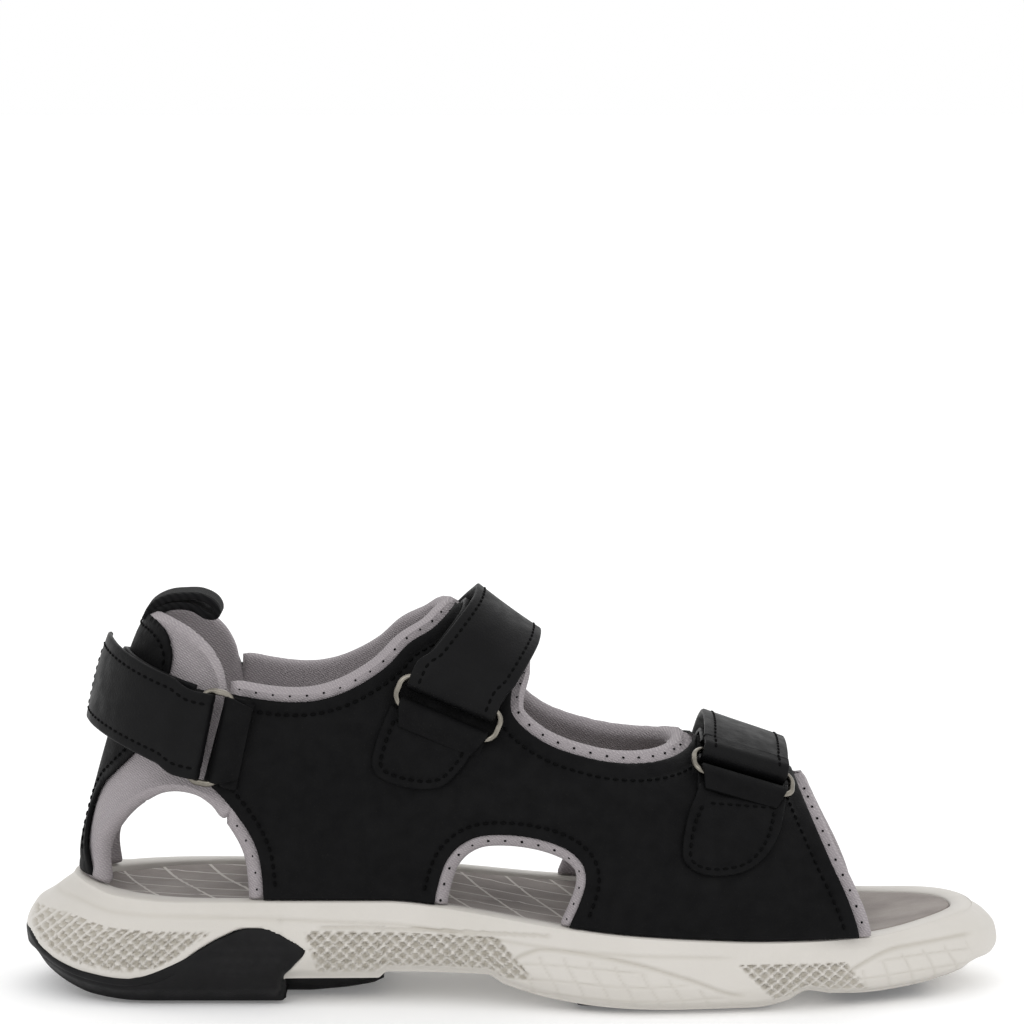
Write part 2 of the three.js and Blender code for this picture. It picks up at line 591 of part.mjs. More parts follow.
function addPiece(name, solid, finish) {
  const { vertProperties, triVerts } = solid.getMesh();
  const geometry = new THREE.BufferGeometry();
  geometry.setAttribute('position', new THREE.BufferAttribute(new Float32Array(vertProperties), 3));
  geometry.setIndex(new THREE.BufferAttribute(new Uint32Array(triVerts), 1));
  geometry.computeVertexNormals();
  const mesh = new THREE.Mesh(geometry, new THREE.MeshStandardMaterial(FINISHES[finish]));
  mesh.name = name;
  sandal.add(mesh);
}

const [rubber, foamBody] = rubberAndMidsole();
addPiece('midsole', foamBody.subtract(forefootPad(GAP)).subtract(toePad(GAP)), 'foam');
addPiece('heel_outsole', rubber, 'rubber');
addPiece('forefoot_tread', forefootPad(0), 'rubber');
addPiece('toe_tread', toePad(0), 'rubber');
addPiece('insole_board', solePlate(CAVITY_INSET + GAP, boardBottom, boardTop), 'board');
addPiece('footbed', solePlate(CAVITY_INSET + GAP, (x) => boardTop(x) + GAP, footbedZ), 'footbed');

for (const [name, side] of [['lateral', -1], ['medial', 1]]) {
  const [shell, lining] = quarterPair(side);
  addPiece(`${name}_quarter`, shell, 'upper');
  addPiece(`${name}_lining`, lining, 'lining');
}
const [counter, heelLining] = heelPair();
addPiece('heel_counter', counter, 'upper');
addPiece('heel_lining', heelLining, 'lining');
addPiece('pull_tab', sidePrism(PULL_TAB, -PULL_TAB_WIDTH / 2, PULL_TAB_WIDTH / 2), 'webbing');

for (const name of Object.keys(STRAPS)) {
  const inset = PATCH_INSET / barFrame(name, FOLD_OFFSET).width;
  addPiece(`${name}_strap`, strapBase(name), 'upper');
  addPiece(`${name}_flap`, band(name, FLAP, FOLD_LEG + GAP, 0, 'free'), 'upper');
  addPiece(`${name}_loop_patch`, band(name, LOOP, FOLD_LEG + 1, inset, 'free'), 'webbing');
  addPiece(`${name}_hook_patch`, band(name, HOOK, FOLD_LEG + 2, inset, 'free'), 'webbing');
  addPiece(`${name}_ring_tab`, ringTab(name), 'upper');
  addPiece(`${name}_ring`, ring(name), 'nickel');
}

export default sandal;
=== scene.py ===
"""A strappy sport sandal for a right foot, modelled around its packed CAD frame."""

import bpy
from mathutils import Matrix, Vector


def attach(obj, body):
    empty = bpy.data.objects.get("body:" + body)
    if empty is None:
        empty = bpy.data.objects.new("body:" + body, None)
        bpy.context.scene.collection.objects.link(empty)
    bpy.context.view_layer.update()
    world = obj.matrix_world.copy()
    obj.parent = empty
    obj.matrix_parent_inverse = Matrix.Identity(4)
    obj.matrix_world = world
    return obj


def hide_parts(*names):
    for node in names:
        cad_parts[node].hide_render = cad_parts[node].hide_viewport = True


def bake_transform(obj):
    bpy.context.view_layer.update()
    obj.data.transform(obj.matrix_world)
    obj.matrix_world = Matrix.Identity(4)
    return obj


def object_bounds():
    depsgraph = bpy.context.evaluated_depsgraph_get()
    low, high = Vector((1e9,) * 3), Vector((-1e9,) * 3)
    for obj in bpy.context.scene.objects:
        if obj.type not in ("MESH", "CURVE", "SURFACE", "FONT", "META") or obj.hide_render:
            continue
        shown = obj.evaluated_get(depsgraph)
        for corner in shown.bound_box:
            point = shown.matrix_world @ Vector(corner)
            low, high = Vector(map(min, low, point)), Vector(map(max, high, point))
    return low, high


bl_info = {
    "name": "Sport sandal",
    "version": (1, 0, 0),
    "blender": (4, 5, 0),
    "location": "3D View > Sidebar > Sandal",
    "description": "Builds an open sport sandal with a foam sole, padded linings and ringed straps",
    "category": "Object",
}

import math

import bmesh
import bpy
import numpy as np
from mathutils import Vector
from mathutils.geometry import delaunay_2d_cdt
from mathutils.kdtree import KDTree

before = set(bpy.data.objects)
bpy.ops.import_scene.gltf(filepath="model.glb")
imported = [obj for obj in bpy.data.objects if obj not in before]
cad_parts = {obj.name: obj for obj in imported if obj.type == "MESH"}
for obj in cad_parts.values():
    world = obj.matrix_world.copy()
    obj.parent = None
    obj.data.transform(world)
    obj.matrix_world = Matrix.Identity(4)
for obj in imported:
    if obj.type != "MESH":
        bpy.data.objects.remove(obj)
CAD_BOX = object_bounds()
HEEL_X = CAD_BOX[0][0]      # the heel's tip, where the sandal's own x starts
MM = 0.001

# ---- Sizes shared with the frame, in millimetres from the heel's tip --------
LENGTH = (CAD_BOX[1][0] - CAD_BOX[0][0]) / MM
GAP = 0.3
RIM_WIDTH = 6
RIM_INSET = 2
CAVITY_INSET = RIM_INSET + RIM_WIDTH
FOOTBED_THICKNESS = 4
TREAD_STANDOFF = 0.8
HEEL_AXIS = 60
FORM_FLOOR = 18
RIB_POWER = 2 / 2.3
LINING = (0, 4)
SHELL = (4.3, 5.7)
STRAP = (6, 7.5)
LOOP = (7.8, 9.2)
HOOK = (9.5, 11)
FLAP = (11.3, 12.8)
TAB = (6, 7.5)
BAR_RADIUS = 0.9
RING_BARS = 8.2
RING_REACH = {"heel": 0.7, "instep": 1.8, "toe": 1.8}
FOLD_LEG = 3
FOLD_OFFSET = (FLAP[0] + STRAP[1]) / 2
TUBE_OUTER = 2.4
LINING_PROUD = 4
WINDOW_PROUD = 3
LINING_SEAM = 57
SETTLE_STEPS = 18
RIM_FIRST = 13.5            # where the foam's rim starts at the heel
RIM_LAST = LENGTH - 7
OUTLINE_STEP = 1.2
STRAP_THICKNESS = 1.5
TAPE_THICKNESS = 1.4
STRAP_STITCH = 3.0          # from a strap's edge to its stitch line
QUARTER_STITCH = 3.4
COUNTER_STITCH = 3.0
PATCH_STITCH = 2.6
RING_CORNER = 3.2
RUBBER_HALF = 1.5           # half the wall of the heel rubber
RUBBER_TIP = 79.5           # the foremost point of the rubber's fin
MERGED = 1e-9


def in_mm(size):
    """A property in metres as the millimetres the shapes are drawn in."""
    return round(size / MM, 4)


# ---- Curves and the foot form ------------------------------------------------
def profile(pairs):
    """Smooth curve through (x, value) pairs that never overshoots them."""
    x = np.array([p[0] for p in pairs], float)
    y = np.array([p[1] for p in pairs], float)
    chord = np.diff(y) / np.diff(x)
    slope = np.zeros_like(y)
    same = chord[:-1] * chord[1:] > 0
    both = chord[:-1] + chord[1:]
    slope[1:-1][same] = (2 * chord[:-1] * chord[1:])[same] / both[same]

    def value(at):
        at = np.clip(np.asarray(at, float), x[0], x[-1])
        i = np.clip(np.searchsorted(x, at, side="left"), 1, len(x) - 1)
        h = x[i] - x[i - 1]
        t = (at - x[i - 1]) / h
        rise = y[i - 1] * (2 * t**3 - 3 * t**2 + 1) + y[i] * (3 * t**2 - 2 * t**3)
        return rise + h * slope[i - 1] * (t**3 - 2 * t**2 + t) + h * slope[i] * (t**3 - t**2)

    return value


lateral_width = profile([(0, 36), (50, 36), (100, 36), (135, 42), (168, 49), (205, 45), (235, 39),
                         (270, 33)])
medial_width = profile([(0, 36), (50, 36), (108, 31), (150, 39), (192, 49), (225, 46), (270, 42)])
bottom_z = profile([(3, 9), (7, 6.6), (14, 3.6), (21, 1.8), (34, 0.8), (71, 0.8), (73.3, 6.7),
                    (98.5, 6.9), (101, 8.6), (128, 8.9), (133, 6.4), (145, 3.2), (160, 1.5),
                    (178, 0.8), (200, 0.8),
                    (209, 2.4), (215, 4.9), (221, 3.8), (232, 3.1), (243, 3.6), (258, 5.4), (264, 7)])
rim_z = profile([(13, 31.5), (27, 29), (49, 28.4), (101, 28.4), (115, 27.4), (149, 23),
                 (187, 19.9), (204, 19), (230, 18.8), (263, 22)])
footbed_z = profile([(14, 29.5), (30, 27.2), (101, 27), (149, 21.8), (187, 18.4), (204, 17.6),
                     (231, 18.4), (262, 21.6)])
ridge_z = profile([(40, 158), (60, 152), (80, 138), (100, 117), (118.6, 100.8), (136, 88.1),
                   (160, 74), (184, 63.4), (206, 55.5), (230, 46.5), (262, 38)])
heel_back = profile([(FORM_FLOOR, 20.5), (27, 20.2), (37, 20.5), (48, 23), (60, 26.2), (70, 29),
                     (85, 32.5), (95, 36), (104, 40.5), (112, 44)])


def end_round(x, first, last):
    """How far the plan has closed in towards its two ends: 1 in the middle, 0 at the tips."""
    heel = np.clip((first + 36 - x) / 36, 0, 1)
    toe = np.clip((x - last + 62) / 62, 0, 1)
    return np.sqrt(1 - heel**2) * (1 - toe**2.3) ** 0.45


def form_point(s, turn):
    """Point of the foot form; s runs heel to toe, turn from outer floor -1 to inner floor 1."""
    s, turn = np.broadcast_arrays(np.asarray(s, float), np.asarray(turn, float))
    x = np.maximum(s, HEEL_AXIS)
    side = np.where(turn < 0, -1.0, 1.0)
    angle = (1 - np.abs(turn)) * math.pi / 2
    z = FORM_FLOOR + (ridge_z(x) - FORM_FLOOR) * np.sin(angle) ** RIB_POWER
    half = (lateral_width(x) + medial_width(x)) / 2 - CAVITY_INSET
    middle = (medial_width(x) - lateral_width(x)) / 2
    reach = half * np.maximum(np.cos(angle), 0) ** RIB_POWER
    fan = np.clip(s / HEEL_AXIS, 0, 1) * math.pi / 2
    back = HEEL_AXIS - heel_back(z)
    rib = np.stack([s, middle + side * reach, z], -1)
    heel = np.stack([HEEL_AXIS - back * np.cos(fan), side * reach * np.sin(fan), z], -1)
    return np.where((s >= HEEL_AXIS)[..., None], rib, heel)


def form_normal(s, turn):
    """Outward normal of the foot form, from steps along it and round it."""
    s, turn = np.broadcast_arrays(np.asarray(s, float), np.asarray(turn, float))
    u = np.maximum(s, 0.4)
    t = np.clip(turn, -0.98, 0.98)
    reach = np.clip(u * 0.9, 0.3, 3)
    ds = form_point(u + reach, t) - form_point(u - reach, t)
    dt = form_point(u, t + 0.004) - form_point(u, t - 0.004)
    normal = np.cross(ds, dt)
    normal /= np.linalg.norm(normal, axis=-1, keepdims=True)
    point = form_point(u, t)
    x = point[..., 0]
    middle = np.stack([np.maximum(s, HEEL_AXIS), (medial_width(x) - lateral_width(x)) / 2,
                       np.full_like(x, FORM_FLOOR)], -1)
    flip = np.sum(normal * (point - middle), -1) < 0
    return np.where(flip[..., None], -normal, normal)


def offset_point(s, turn, away):
    """Point that lies a distance out from the foot form."""
    return form_point(s, turn) + form_normal(s, turn) * np.asarray(away, float)[..., None]


def turn_at(s, z, side):
    """The turn at which the form reaches a height, on one side."""
    x = np.maximum(s, HEEL_AXIS)
    share = np.clip((z - FORM_FLOOR) / (ridge_z(x) - FORM_FLOOR), 0, 1)
    return side * (1 - np.arcsin(share ** (1 / RIB_POWER)) / (math.pi / 2))


def settle(x, z, away, side):
    """The (s, turn) whose point at that distance from the form shows at (x, z) from the side."""
    x, z = np.asarray(x, float), np.asarray(z, float)
    s, height = x.copy(), z.copy()
    away = np.broadcast_to(np.asarray(away, float), x.shape)
    for _ in range(SETTLE_STEPS):
        p = offset_point(s, turn_at(s, height, side), away)
        s = np.clip(s + (x - p[..., 0]) * 0.6, 0, 262)
        height = height + (z - p[..., 2]) * 0.6
    return s, turn_at(s, height, side)


# ---- Outlines, in the side view (x, z) ---------------------------------------
QUARTER = [(67.7, 15), (67.3, 34.5), (66.1, 41.8), (64, 46.7), (60.8, 51.6), (57.5, 55.7), (53.8, 59.4),
           (51.6, 61), (57.9, 85), (67.2, 83.2), (75.5, 82.4), (82, 82.8), (88.5, 84.5), (95.9, 88.1),
           (101.5, 92), (107, 97.5), (113.3, 101), (119, 106), (138, 92), (134.8, 84), (134.9, 78.8),
           (137.8, 75.3), (142.7, 71.8), (147.6, 69.5), (154.1, 67.5), (160.7, 66), (168.8, 65.2),
           (176.2, 65.4), (181.9, 66.7), (187.1, 69.5), (190, 74), (207, 68), (212, 59.5), (213.4, 56.2),
           (216.7, 48.7), (220.7, 39.8), (225.3, 30.1), (228.2, 22), (229.5, 15)]
QUARTER_CORNERS = {0, 7, 8, 17, 18, 30, 31, 38}
WINDOW = [(114.1, 27.4), (115.3, 33.9), (117.4, 39.7), (120.7, 43.7), (125.5, 46.4), (131.3, 47.2),
          (139.4, 46.8), (146, 45.4), (150.9, 43.3), (154.3, 39.7), (154.9, 35.6), (153.3, 29.9),
          (150.5, 23.3), (146, 10), (117, 10)]
WINDOW_CORNERS = {13, 14}
COUNTER = [(5, 15), (20.8, 15), (20, 30.3), (17.6, 40), (18, 47), (21.9, 55.6), (25.8, 60), (32.4, 67.1),
           (39.3, 80.5), (42.1, 90.5), (42.4, 94), (40.4, 98.6), (37, 100.8), (33, 101.2), (5, 101.2)]
HEEL_LINING = [(8, 15), (25.5, 15), (24.5, 30), (24, 40), (28, 47), (34, 53), (42, 57), (49.5, 56.5),
               (53.5, 54), (57.3, 50.6), (57.3, 88.6), (56, 92.4), (53.8, 96), (50.6, 99),
               (46.5, 101.5), (41.5, 103), (36, 103), (8, 106)]
TAB_OUTLINES = {
    "instep": [(129, 81), (106, 90), (97.4, 69.3), (97, 65.5), (98.4, 62.6), (101.5, 60.8), (107, 59.3),
               (112.6, 58.9), (117, 60), (120, 62.6), (123.7, 67.5), (126.5, 74.3)],
    "toe": [(211.5, 61), (187.5, 68), (184, 56), (182.3, 52.8), (180.4, 44.4), (180.7, 41), (183.2, 38.4),
            (187.8, 36.8), (193.8, 36.8), (198.8, 38), (203.5, 41.4), (206.9, 46.5), (209, 53.4)],
}


def smooth_outline(points, corners, step):
    """A closed outline through the points, smooth except at its corners, sampled every step."""
    pts = np.array(points, float)
    count = len(pts)
    edge = np.roll(pts, -1, 0) - pts
    long = np.linalg.norm(edge, axis=1, keepdims=True)
    unit = edge / long
    out = []
    for i in range(count):
        j = (i + 1) % count
        h = long[i, 0]
        start = unit[i] if i in corners else unit[i] + unit[i - 1]
        end = unit[i] if j in corners else unit[i] + unit[j]
        start = start / np.linalg.norm(start) * h
        end = end / np.linalg.norm(end) * h
        for t in np.arange(0, 1, step / max(h, step)):
            out.append(pts[i] * (2 * t**3 - 3 * t**2 + 1) + pts[j] * (3 * t**2 - 2 * t**3)
                       + start * (t**3 - 2 * t**2 + t) + end * (t**3 - t**2))
    return np.array(out)


def edge_distance(points, line, closed=True):
    """Distance of each point to a polyline."""
    a = line if closed else line[:-1]
    b = np.roll(line, -1, 0) if closed else line[1:]
    best = np.full(len(points), 1e9)
    for p, q in zip(a, b):
        d = q - p
        t = np.clip(((points - p) @ d) / max(d @ d, 1e-9), 0, 1)
        best = np.minimum(best, np.linalg.norm(points - p - t[:, None] * d, axis=1))
    return best


def inside(points, line):
    """Whether each point lies within a closed line."""
    x, y = points[:, 0], points[:, 1]
    odd = np.zeros(len(points), bool)
    for (ax, ay), (bx, by) in zip(line, np.roll(line, -1, 0)):
        if ay == by:
            continue
        cross = (ay > y) != (by > y)
        odd ^= cross & (x < (bx - ax) * (y - ay) / (by - ay) + ax)
    return odd


def grow_line(line, distance):
    """A closed outline moved outwards (or inwards, when negative)."""
    before, after = np.roll(line, 1, 0), np.roll(line, -1, 0)
    area = np.sum(line[:, 0] * after[:, 1] - after[:, 0] * line[:, 1])
    a, b = line - before, after - line
    a = np.stack([a[:, 1], -a[:, 0]], 1) / np.maximum(np.linalg.norm(a, axis=1, keepdims=True), MERGED)
    b = np.stack([b[:, 1], -b[:, 0]], 1) / np.maximum(np.linalg.norm(b, axis=1, keepdims=True), MERGED)
    m = a + b
    m /= np.maximum(np.linalg.norm(m, axis=1, keepdims=True), MERGED)
    moved = line + m * np.sign(area) * distance
    keep = edge_distance(moved, line) > abs(distance) * 0.93
    return moved[keep]


def opened(line):
    """A closed line rolled so that its longest gap lies between its last point and its first."""
    gap = np.linalg.norm(np.roll(line, -1, 0) - line, axis=1)
    return np.roll(line, -int(np.argmax(gap)) - 1, 0)


def split_line(line, gap, *others):
    """A line and the arrays that go with it, cut wherever two neighbours are further apart."""
    cuts = np.where(np.linalg.norm(np.diff(line, axis=0), axis=1) > gap)[0] + 1
    return list(zip(*(np.split(each, cuts) for each in (line, *others))))


def eased_line(line, passes):
    """A closed outline with its small kinks worn smooth."""
    for _ in range(passes):
        line = line / 2 + (np.roll(line, 1, 0) + np.roll(line, -1, 0)) / 4
    return line


def resample(line, pitch):
    """Points every pitch along an open polyline, and the directions there."""
    seg = np.linalg.norm(np.diff(line, axis=0), axis=1)
    run = np.concatenate([[0], np.cumsum(seg)])
    at = np.arange(pitch / 2, run[-1], pitch)
    pts = np.stack([np.interp(at, run, line[:, k]) for k in range(line.shape[1])], 1)
    ahead = np.stack([np.interp(at + 0.4, run, line[:, k]) for k in range(line.shape[1])], 1)
    back = np.stack([np.interp(at - 0.4, run, line[:, k]) for k in range(line.shape[1])], 1)
    return pts, ahead - back


# ---- Meshes ------------------------------------------------------------------
def new_piece(name, verts, faces, node=None, body="sandal", slot=None):
    """A mesh object from points in millimetres, riding on a body and replacing its node."""
    placed = np.array(verts, float) * MM
    placed[:, 0] += HEEL_X
    mesh = bpy.data.meshes.new(name)
    mesh.from_pydata(placed.tolist(), [], [list(map(int, f)) for f in faces])
    piece = bpy.data.objects.new(name, mesh)
    bpy.context.scene.collection.objects.link(piece)
    work = bmesh.new()
    work.from_mesh(mesh)
    bmesh.ops.remove_doubles(work, verts=work.verts, dist=2e-6)
    bmesh.ops.dissolve_degenerate(work, edges=work.edges, dist=1e-7)
    bmesh.ops.recalc_face_normals(work, faces=work.faces)
    work.to_mesh(mesh)
    work.free()
    mesh.shade_smooth()
    mesh.set_sharp_from_angle(angle=math.radians(50))
    if body:
        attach(piece, body)
    if node:
        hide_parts(node)
    return piece


def rounded(distance, radius):
    """Share of the full half thickness this far in from an edge with a round of that radius."""
    t = np.clip(distance / radius, 0, 1)
    return np.sqrt(np.maximum(1 - (1 - t) ** 2, 0))


def panel_mesh(outline, spacing, loops):
    """Triangles over an outline: points, triangles, distance in from the edge."""
    pts = [grow_line(outline, -d) for d in loops]
    low, high = outline.min(0), outline.max(0)
    gx, gz = np.meshgrid(np.arange(low[0], high[0], spacing), np.arange(low[1], high[1], spacing * 0.866))
    gx = gx + (np.arange(gx.shape[0]) % 2)[:, None] * spacing / 2
    pts.append(np.stack([gx.ravel(), gz.ravel()], 1))
    inner = np.concatenate(pts)
    keep = (edge_distance(inner, outline) > min(loops) * 0.7) & inside(inner, outline)
    every = np.concatenate([outline, inner[keep]])
    edges = [(i, (i + 1) % len(outline)) for i in range(len(outline))]
    found = delaunay_2d_cdt([Vector(p) for p in every], edges, [], 0, 1e-4)
    flat = np.array([list(v) for v in found[0]])
    tris = np.array([list(f) for f in found[2]])
    good = inside(flat[tris].mean(1), outline)
    used, back = np.unique(tris[good], return_inverse=True)
    flat = flat[used]
    return flat, back.reshape(-1, 3), edge_distance(flat, outline)


def edge_loops(edge, groove):
    """Distances in from a panel's edge at which its mesh has a row of points."""
    loops = [edge * 0.12, edge * 0.4, edge, edge * 2]
    if groove:
        loops += [groove - 0.5, groove, groove + 0.5]
    return loops


def skinned(name, base, normal, tris, depth, low, high, **where):
    """A closed panel on the form between two distances, joined along its rim."""
    count = len(base)
    verts = np.concatenate([base + normal * high[:, None], base + normal * low[:, None]])
    back = np.where(depth < 0.02, np.arange(count), np.arange(count) + count)
    return new_piece(name, verts, np.concatenate([tris, back[tris][:, ::-1]]), **where)


def grid_tube(name, rows, caps=True, **where):
    """A closed tube from rows of rings of points."""
    rows = np.asarray(rows)
    n, m = rows.shape[:2]
    index = np.arange(n * m).reshape(n, m)
    a, b = index[:-1], index[1:]
    faces = np.stack([a, np.roll(a, -1, 1), np.roll(b, -1, 1), b], -1).reshape(-1, 4).tolist()
    if caps:
        half = m // 2
        for row in (index[0], index[-1]):
            faces += [[row[c], row[c + 1], row[m - 2 - c], row[m - 1 - c]] for c in range(half - 1)]
    return new_piece(name, rows.reshape(-1, 3), faces, **where)


def slab(name, middle, normal, half, caps=True, **where):
    """A strip of soft sheet: rows of points across it, thickened to both sides, edges rounded."""
    outer = middle + normal * half[..., None]
    inner = middle - normal * half[..., None]
    rows = np.concatenate([outer, inner[:, ::-1]], axis=1)
    return grid_tube(name, rows, caps, **where)


# ---- Materials ----------------------------------------------------------------
def linear(shares):
    """A display colour, 0 to 1, as the linear colour a shader takes."""
    return tuple(c / 12.92 if c <= 0.04045 else ((c + 0.055) / 1.055) ** 2.4 for c in shares)


def srgb(r, g, b):
    """A display colour, 0 to 255, as the linear colour a shader takes."""
    return linear([c / 255 for c in (r, g, b)])


class Finish:
    """One procedural material, built node by node on the piece's own coordinates."""

    def __init__(self, name, roughness, metallic=0.0, sheen=0.0, specular=0.5):
        self.material = bpy.data.materials.new(f"sandal_{name}")
        self.material.use_nodes = True
        self.tree = self.material.node_tree
        self.shader = self.tree.nodes["Principled BSDF"]
        self.shader.inputs["Metallic"].default_value = metallic
        self.shader.inputs["Roughness"].default_value = roughness
        self.shader.inputs["Sheen Weight"].default_value = sheen
        self.shader.inputs["Sheen Roughness"].default_value = 0.5
        self.shader.inputs["Specular IOR Level"].default_value = specular
        self.place = self.add("ShaderNodeTexCoord").outputs["Object"]
        self.height = None

    def add(self, kind, **values):
        """A new shader node with its settings."""
        node = self.tree.nodes.new(kind)
        for key, value in values.items():
            setattr(node, key, value)
        return node

    def link(self, a, b):
        self.tree.links.new(a, b)

    def noise(self, scale, detail=3.0):
        """Cloudy variation over the piece."""
        node = self.add("ShaderNodeTexNoise")
        node.inputs["Scale"].default_value = scale
        node.inputs["Detail"].default_value = detail
        node.inputs["Roughness"].default_value = 0.55
        self.link(self.place, node.inputs["Vector"])
        return node.outputs["Fac"]

    def wave(self, pitch, direction, turn=(0, 0, 0), distortion=0.0):
        """Bands with a pitch in metres, running across the turned axis."""
        spin = self.add("ShaderNodeMapping")
        spin.inputs["Rotation"].default_value = turn
        self.link(self.place, spin.inputs["Vector"])
        node = self.add("ShaderNodeTexWave", wave_type="BANDS", bands_direction=direction)
        node.inputs["Scale"].default_value = 2 * math.pi / 20 / pitch
        node.inputs["Distortion"].default_value = distortion
        node.inputs["Detail Scale"].default_value = 0.4
        self.link(spin.outputs["Vector"], node.inputs["Vector"])
        return node.outputs["Fac"]

    def cells(self, scale):
        """Rounded cells, as in a leather grain."""
        node = self.add("ShaderNodeTexVoronoi")
        node.inputs["Scale"].default_value = scale
        self.link(self.place, node.inputs["Vector"])
        return node.outputs["Distance"]

    def math(self, operation, a, b):
        """One sum on two values or sockets."""
        node = self.add("ShaderNodeMath", operation=operation)
        for socket, value in zip(node.inputs, (a, b)):
            if isinstance(value, (int, float)):
                socket.default_value = value
            else:
                self.link(value, socket)
        return node.outputs[0]

    def spread(self, value, low, high):
        """The middle of a noise stretched from low to high."""
        node = self.add("ShaderNodeMapRange")
        self.link(value, node.inputs["Value"])
        node.inputs["From Min"].default_value = 0.3
        node.inputs["From Max"].default_value = 0.7
        node.inputs["To Min"].default_value = low
        node.inputs["To Max"].default_value = high
        return node.outputs[0]

    def ramp(self, value, stops):
        """A colour picked along stops of (share, colour)."""
        node = self.add("ShaderNodeValToRGB")
        while len(node.color_ramp.elements) < len(stops):
            node.color_ramp.elements.new(0.5)
        for element, (at, colour) in zip(node.color_ramp.elements, stops):
            element.position = at
            element.color = (*colour, 1)
        self.link(value, node.inputs["Fac"])
        return node.outputs["Color"]

    def colour(self, socket):
        self.link(socket, self.shader.inputs["Base Color"])

    def shade(self, socket, mix_colour_or_painted_shade, amount):
        """Mixes a colour with another by a factor."""
        node = self.add("ShaderNodeMix", data_type="RGBA")
        self.link(amount, node.inputs["Factor"])
        self.link(socket, node.inputs["A"])
        node.inputs["B"].default_value = (*mix_colour_or_painted_shade, 1)
        return node.outputs["Result"]

    def grain(self, value, depth):
        """Adds a bump of that depth in metres."""
        node = self.add("ShaderNodeBump")
        node.inputs["Strength"].default_value = 1.0
        node.inputs["Distance"].default_value = depth
        self.link(value, node.inputs["Height"])
        if self.height:
            self.link(self.height, node.inputs["Normal"])
        self.height = node.outputs["Normal"]
        self.link(self.height, self.shader.inputs["Normal"])

    def attribute(self, name):
        return self.add("ShaderNodeAttribute", attribute_name=name).outputs["Fac"]


def foam_finish(colours):
    f = Finish("midsole_foam", 0.5, specular=0.4)
    base = f.ramp(f.noise(28, 4), [(0.3, srgb(197, 193, 186)), (0.7, linear(colours.foam))])
    # painted shade: the foam is darkened towards (172, 166, 154) in its lattice pits, as far as the groove
    # attribute reaches
    base = f.shade(base, srgb(172, 166, 154), f.math("MULTIPLY", f.attribute("groove"), 0.8))
    f.colour(base)
    f.grain(f.noise(2600, 2), 0.00006)
    f.grain(f.noise(160, 2), 0.00012)
    f.link(f.spread(f.noise(90, 3), 0.42, 0.6), f.shader.inputs["Roughness"])
    return f.material


def rubber_finish(colours):
    f = Finish("outsole_rubber", 0.55, specular=0.2)
    f.colour(f.ramp(f.noise(220, 4), [(0.35, srgb(12, 12, 13)), (0.65, linear(colours.rubber))]))
    f.grain(f.noise(1800, 3), 0.00008)
    f.link(f.spread(f.noise(150, 3), 0.45, 0.68), f.shader.inputs["Roughness"])
    return f.material


def leather_finish(name, dark, light, roughness, grain, sheen):
    f = Finish(name, roughness, sheen=sheen, specular=0.11)
    f.shader.inputs["Sheen Tint"].default_value = (0.35, 0.34, 0.36, 1)
    base = f.ramp(f.noise(70, 5), [(0.3, srgb(*dark)), (0.72, linear(light))])
    f.colour(base)
    f.grain(f.cells(1500), grain)
    f.grain(f.noise(3800, 3), grain * 0.6)
    f.link(f.spread(f.noise(240, 3), roughness - 0.08, roughness + 0.1), f.shader.inputs["Roughness"])
    return f.material


def mesh_finish(colours):
    f = Finish("lining_mesh", 0.92, sheen=0.08, specular=0.2)
    warp = f.wave(0.0007, "X", (0, math.radians(38), 0))
    weft = f.wave(0.0006, "Z", (0, math.radians(-24), 0), 1.2)
    weave = f.math("MULTIPLY", warp, weft)
    light = f.ramp(weave, [(0.0, srgb(146, 140, 143)), (0.6, linear(colours.lining))])
    f.colour(f.shade(light, srgb(150, 143, 147), f.spread(f.noise(45, 4), 0.0, 0.4)))
    f.grain(weave, 0.00016)
    f.grain(f.noise(3000, 2), 0.00008)
    return f.material


def footbed_finish(colours):
    f = Finish("footbed_cover", 0.82, sheen=0.2, specular=0.25)
    along = f.wave(0.0105, "Y", (0, 0, math.radians(14)), 1.6)
    across = f.wave(0.013, "X", (0, 0, math.radians(-20)), 1.9)
    lines = f.math("MAXIMUM", f.math("GREATER_THAN", along, 0.988), f.math("GREATER_THAN", across, 0.99))
    x = f.add("ShaderNodeSeparateXYZ")
    f.link(f.place, x.inputs[0])
    lines = f.math("MULTIPLY", lines, f.math("LESS_THAN", x.outputs["X"], 0.062))
    base = f.ramp(f.noise(60, 5), [(0.3, srgb(118, 109, 104)), (0.7, linear(colours.footbed))])
    f.colour(f.shade(base, srgb(200, 195, 189), lines))
    f.grain(lines, 0.0001)
    f.grain(f.noise(2200, 4), 0.0001)
    return f.material


def webbing_finish(name, tone):
    f = Finish(name, 0.85, sheen=0.03, specular=0.15)
    weave = f.math("MULTIPLY", f.wave(0.0008, "Y"), f.wave(0.0012, "DIAGONAL"))
    f.colour(f.ramp(weave, [(0.0, srgb(8, 8, 9)), (0.7, srgb(*tone))]))
    f.grain(weave, 0.0002)
    return f.material


def pile_finish(name, tone, scale):
    f = Finish(name, 0.95, sheen=0.1, specular=0.1)
    f.colour(f.ramp(f.noise(scale, 5), [(0.3, srgb(8, 8, 9)), (0.7, srgb(*tone))]))
    f.grain(f.noise(scale * 2, 4), 0.0005)
    return f.material


def nickel_finish():
    f = Finish("ring_nickel", 0.24, metallic=1.0)
    f.colour(f.ramp(f.noise(300, 4), [(0.3, srgb(112, 108, 100)), (0.7, srgb(146, 141, 132))]))
    f.link(f.spread(f.noise(500, 3), 0.16, 0.34), f.shader.inputs["Roughness"])
    f.grain(f.noise(900, 2), 0.00001)
    return f.material


def board_finish():
    f = Finish("insole_board", 0.95)
    f.colour(f.ramp(f.noise(400, 5), [(0.3, srgb(120, 92, 62)), (0.7, srgb(158, 126, 88))]))
    f.grain(f.noise(2000, 3), 0.0001)
    return f.material


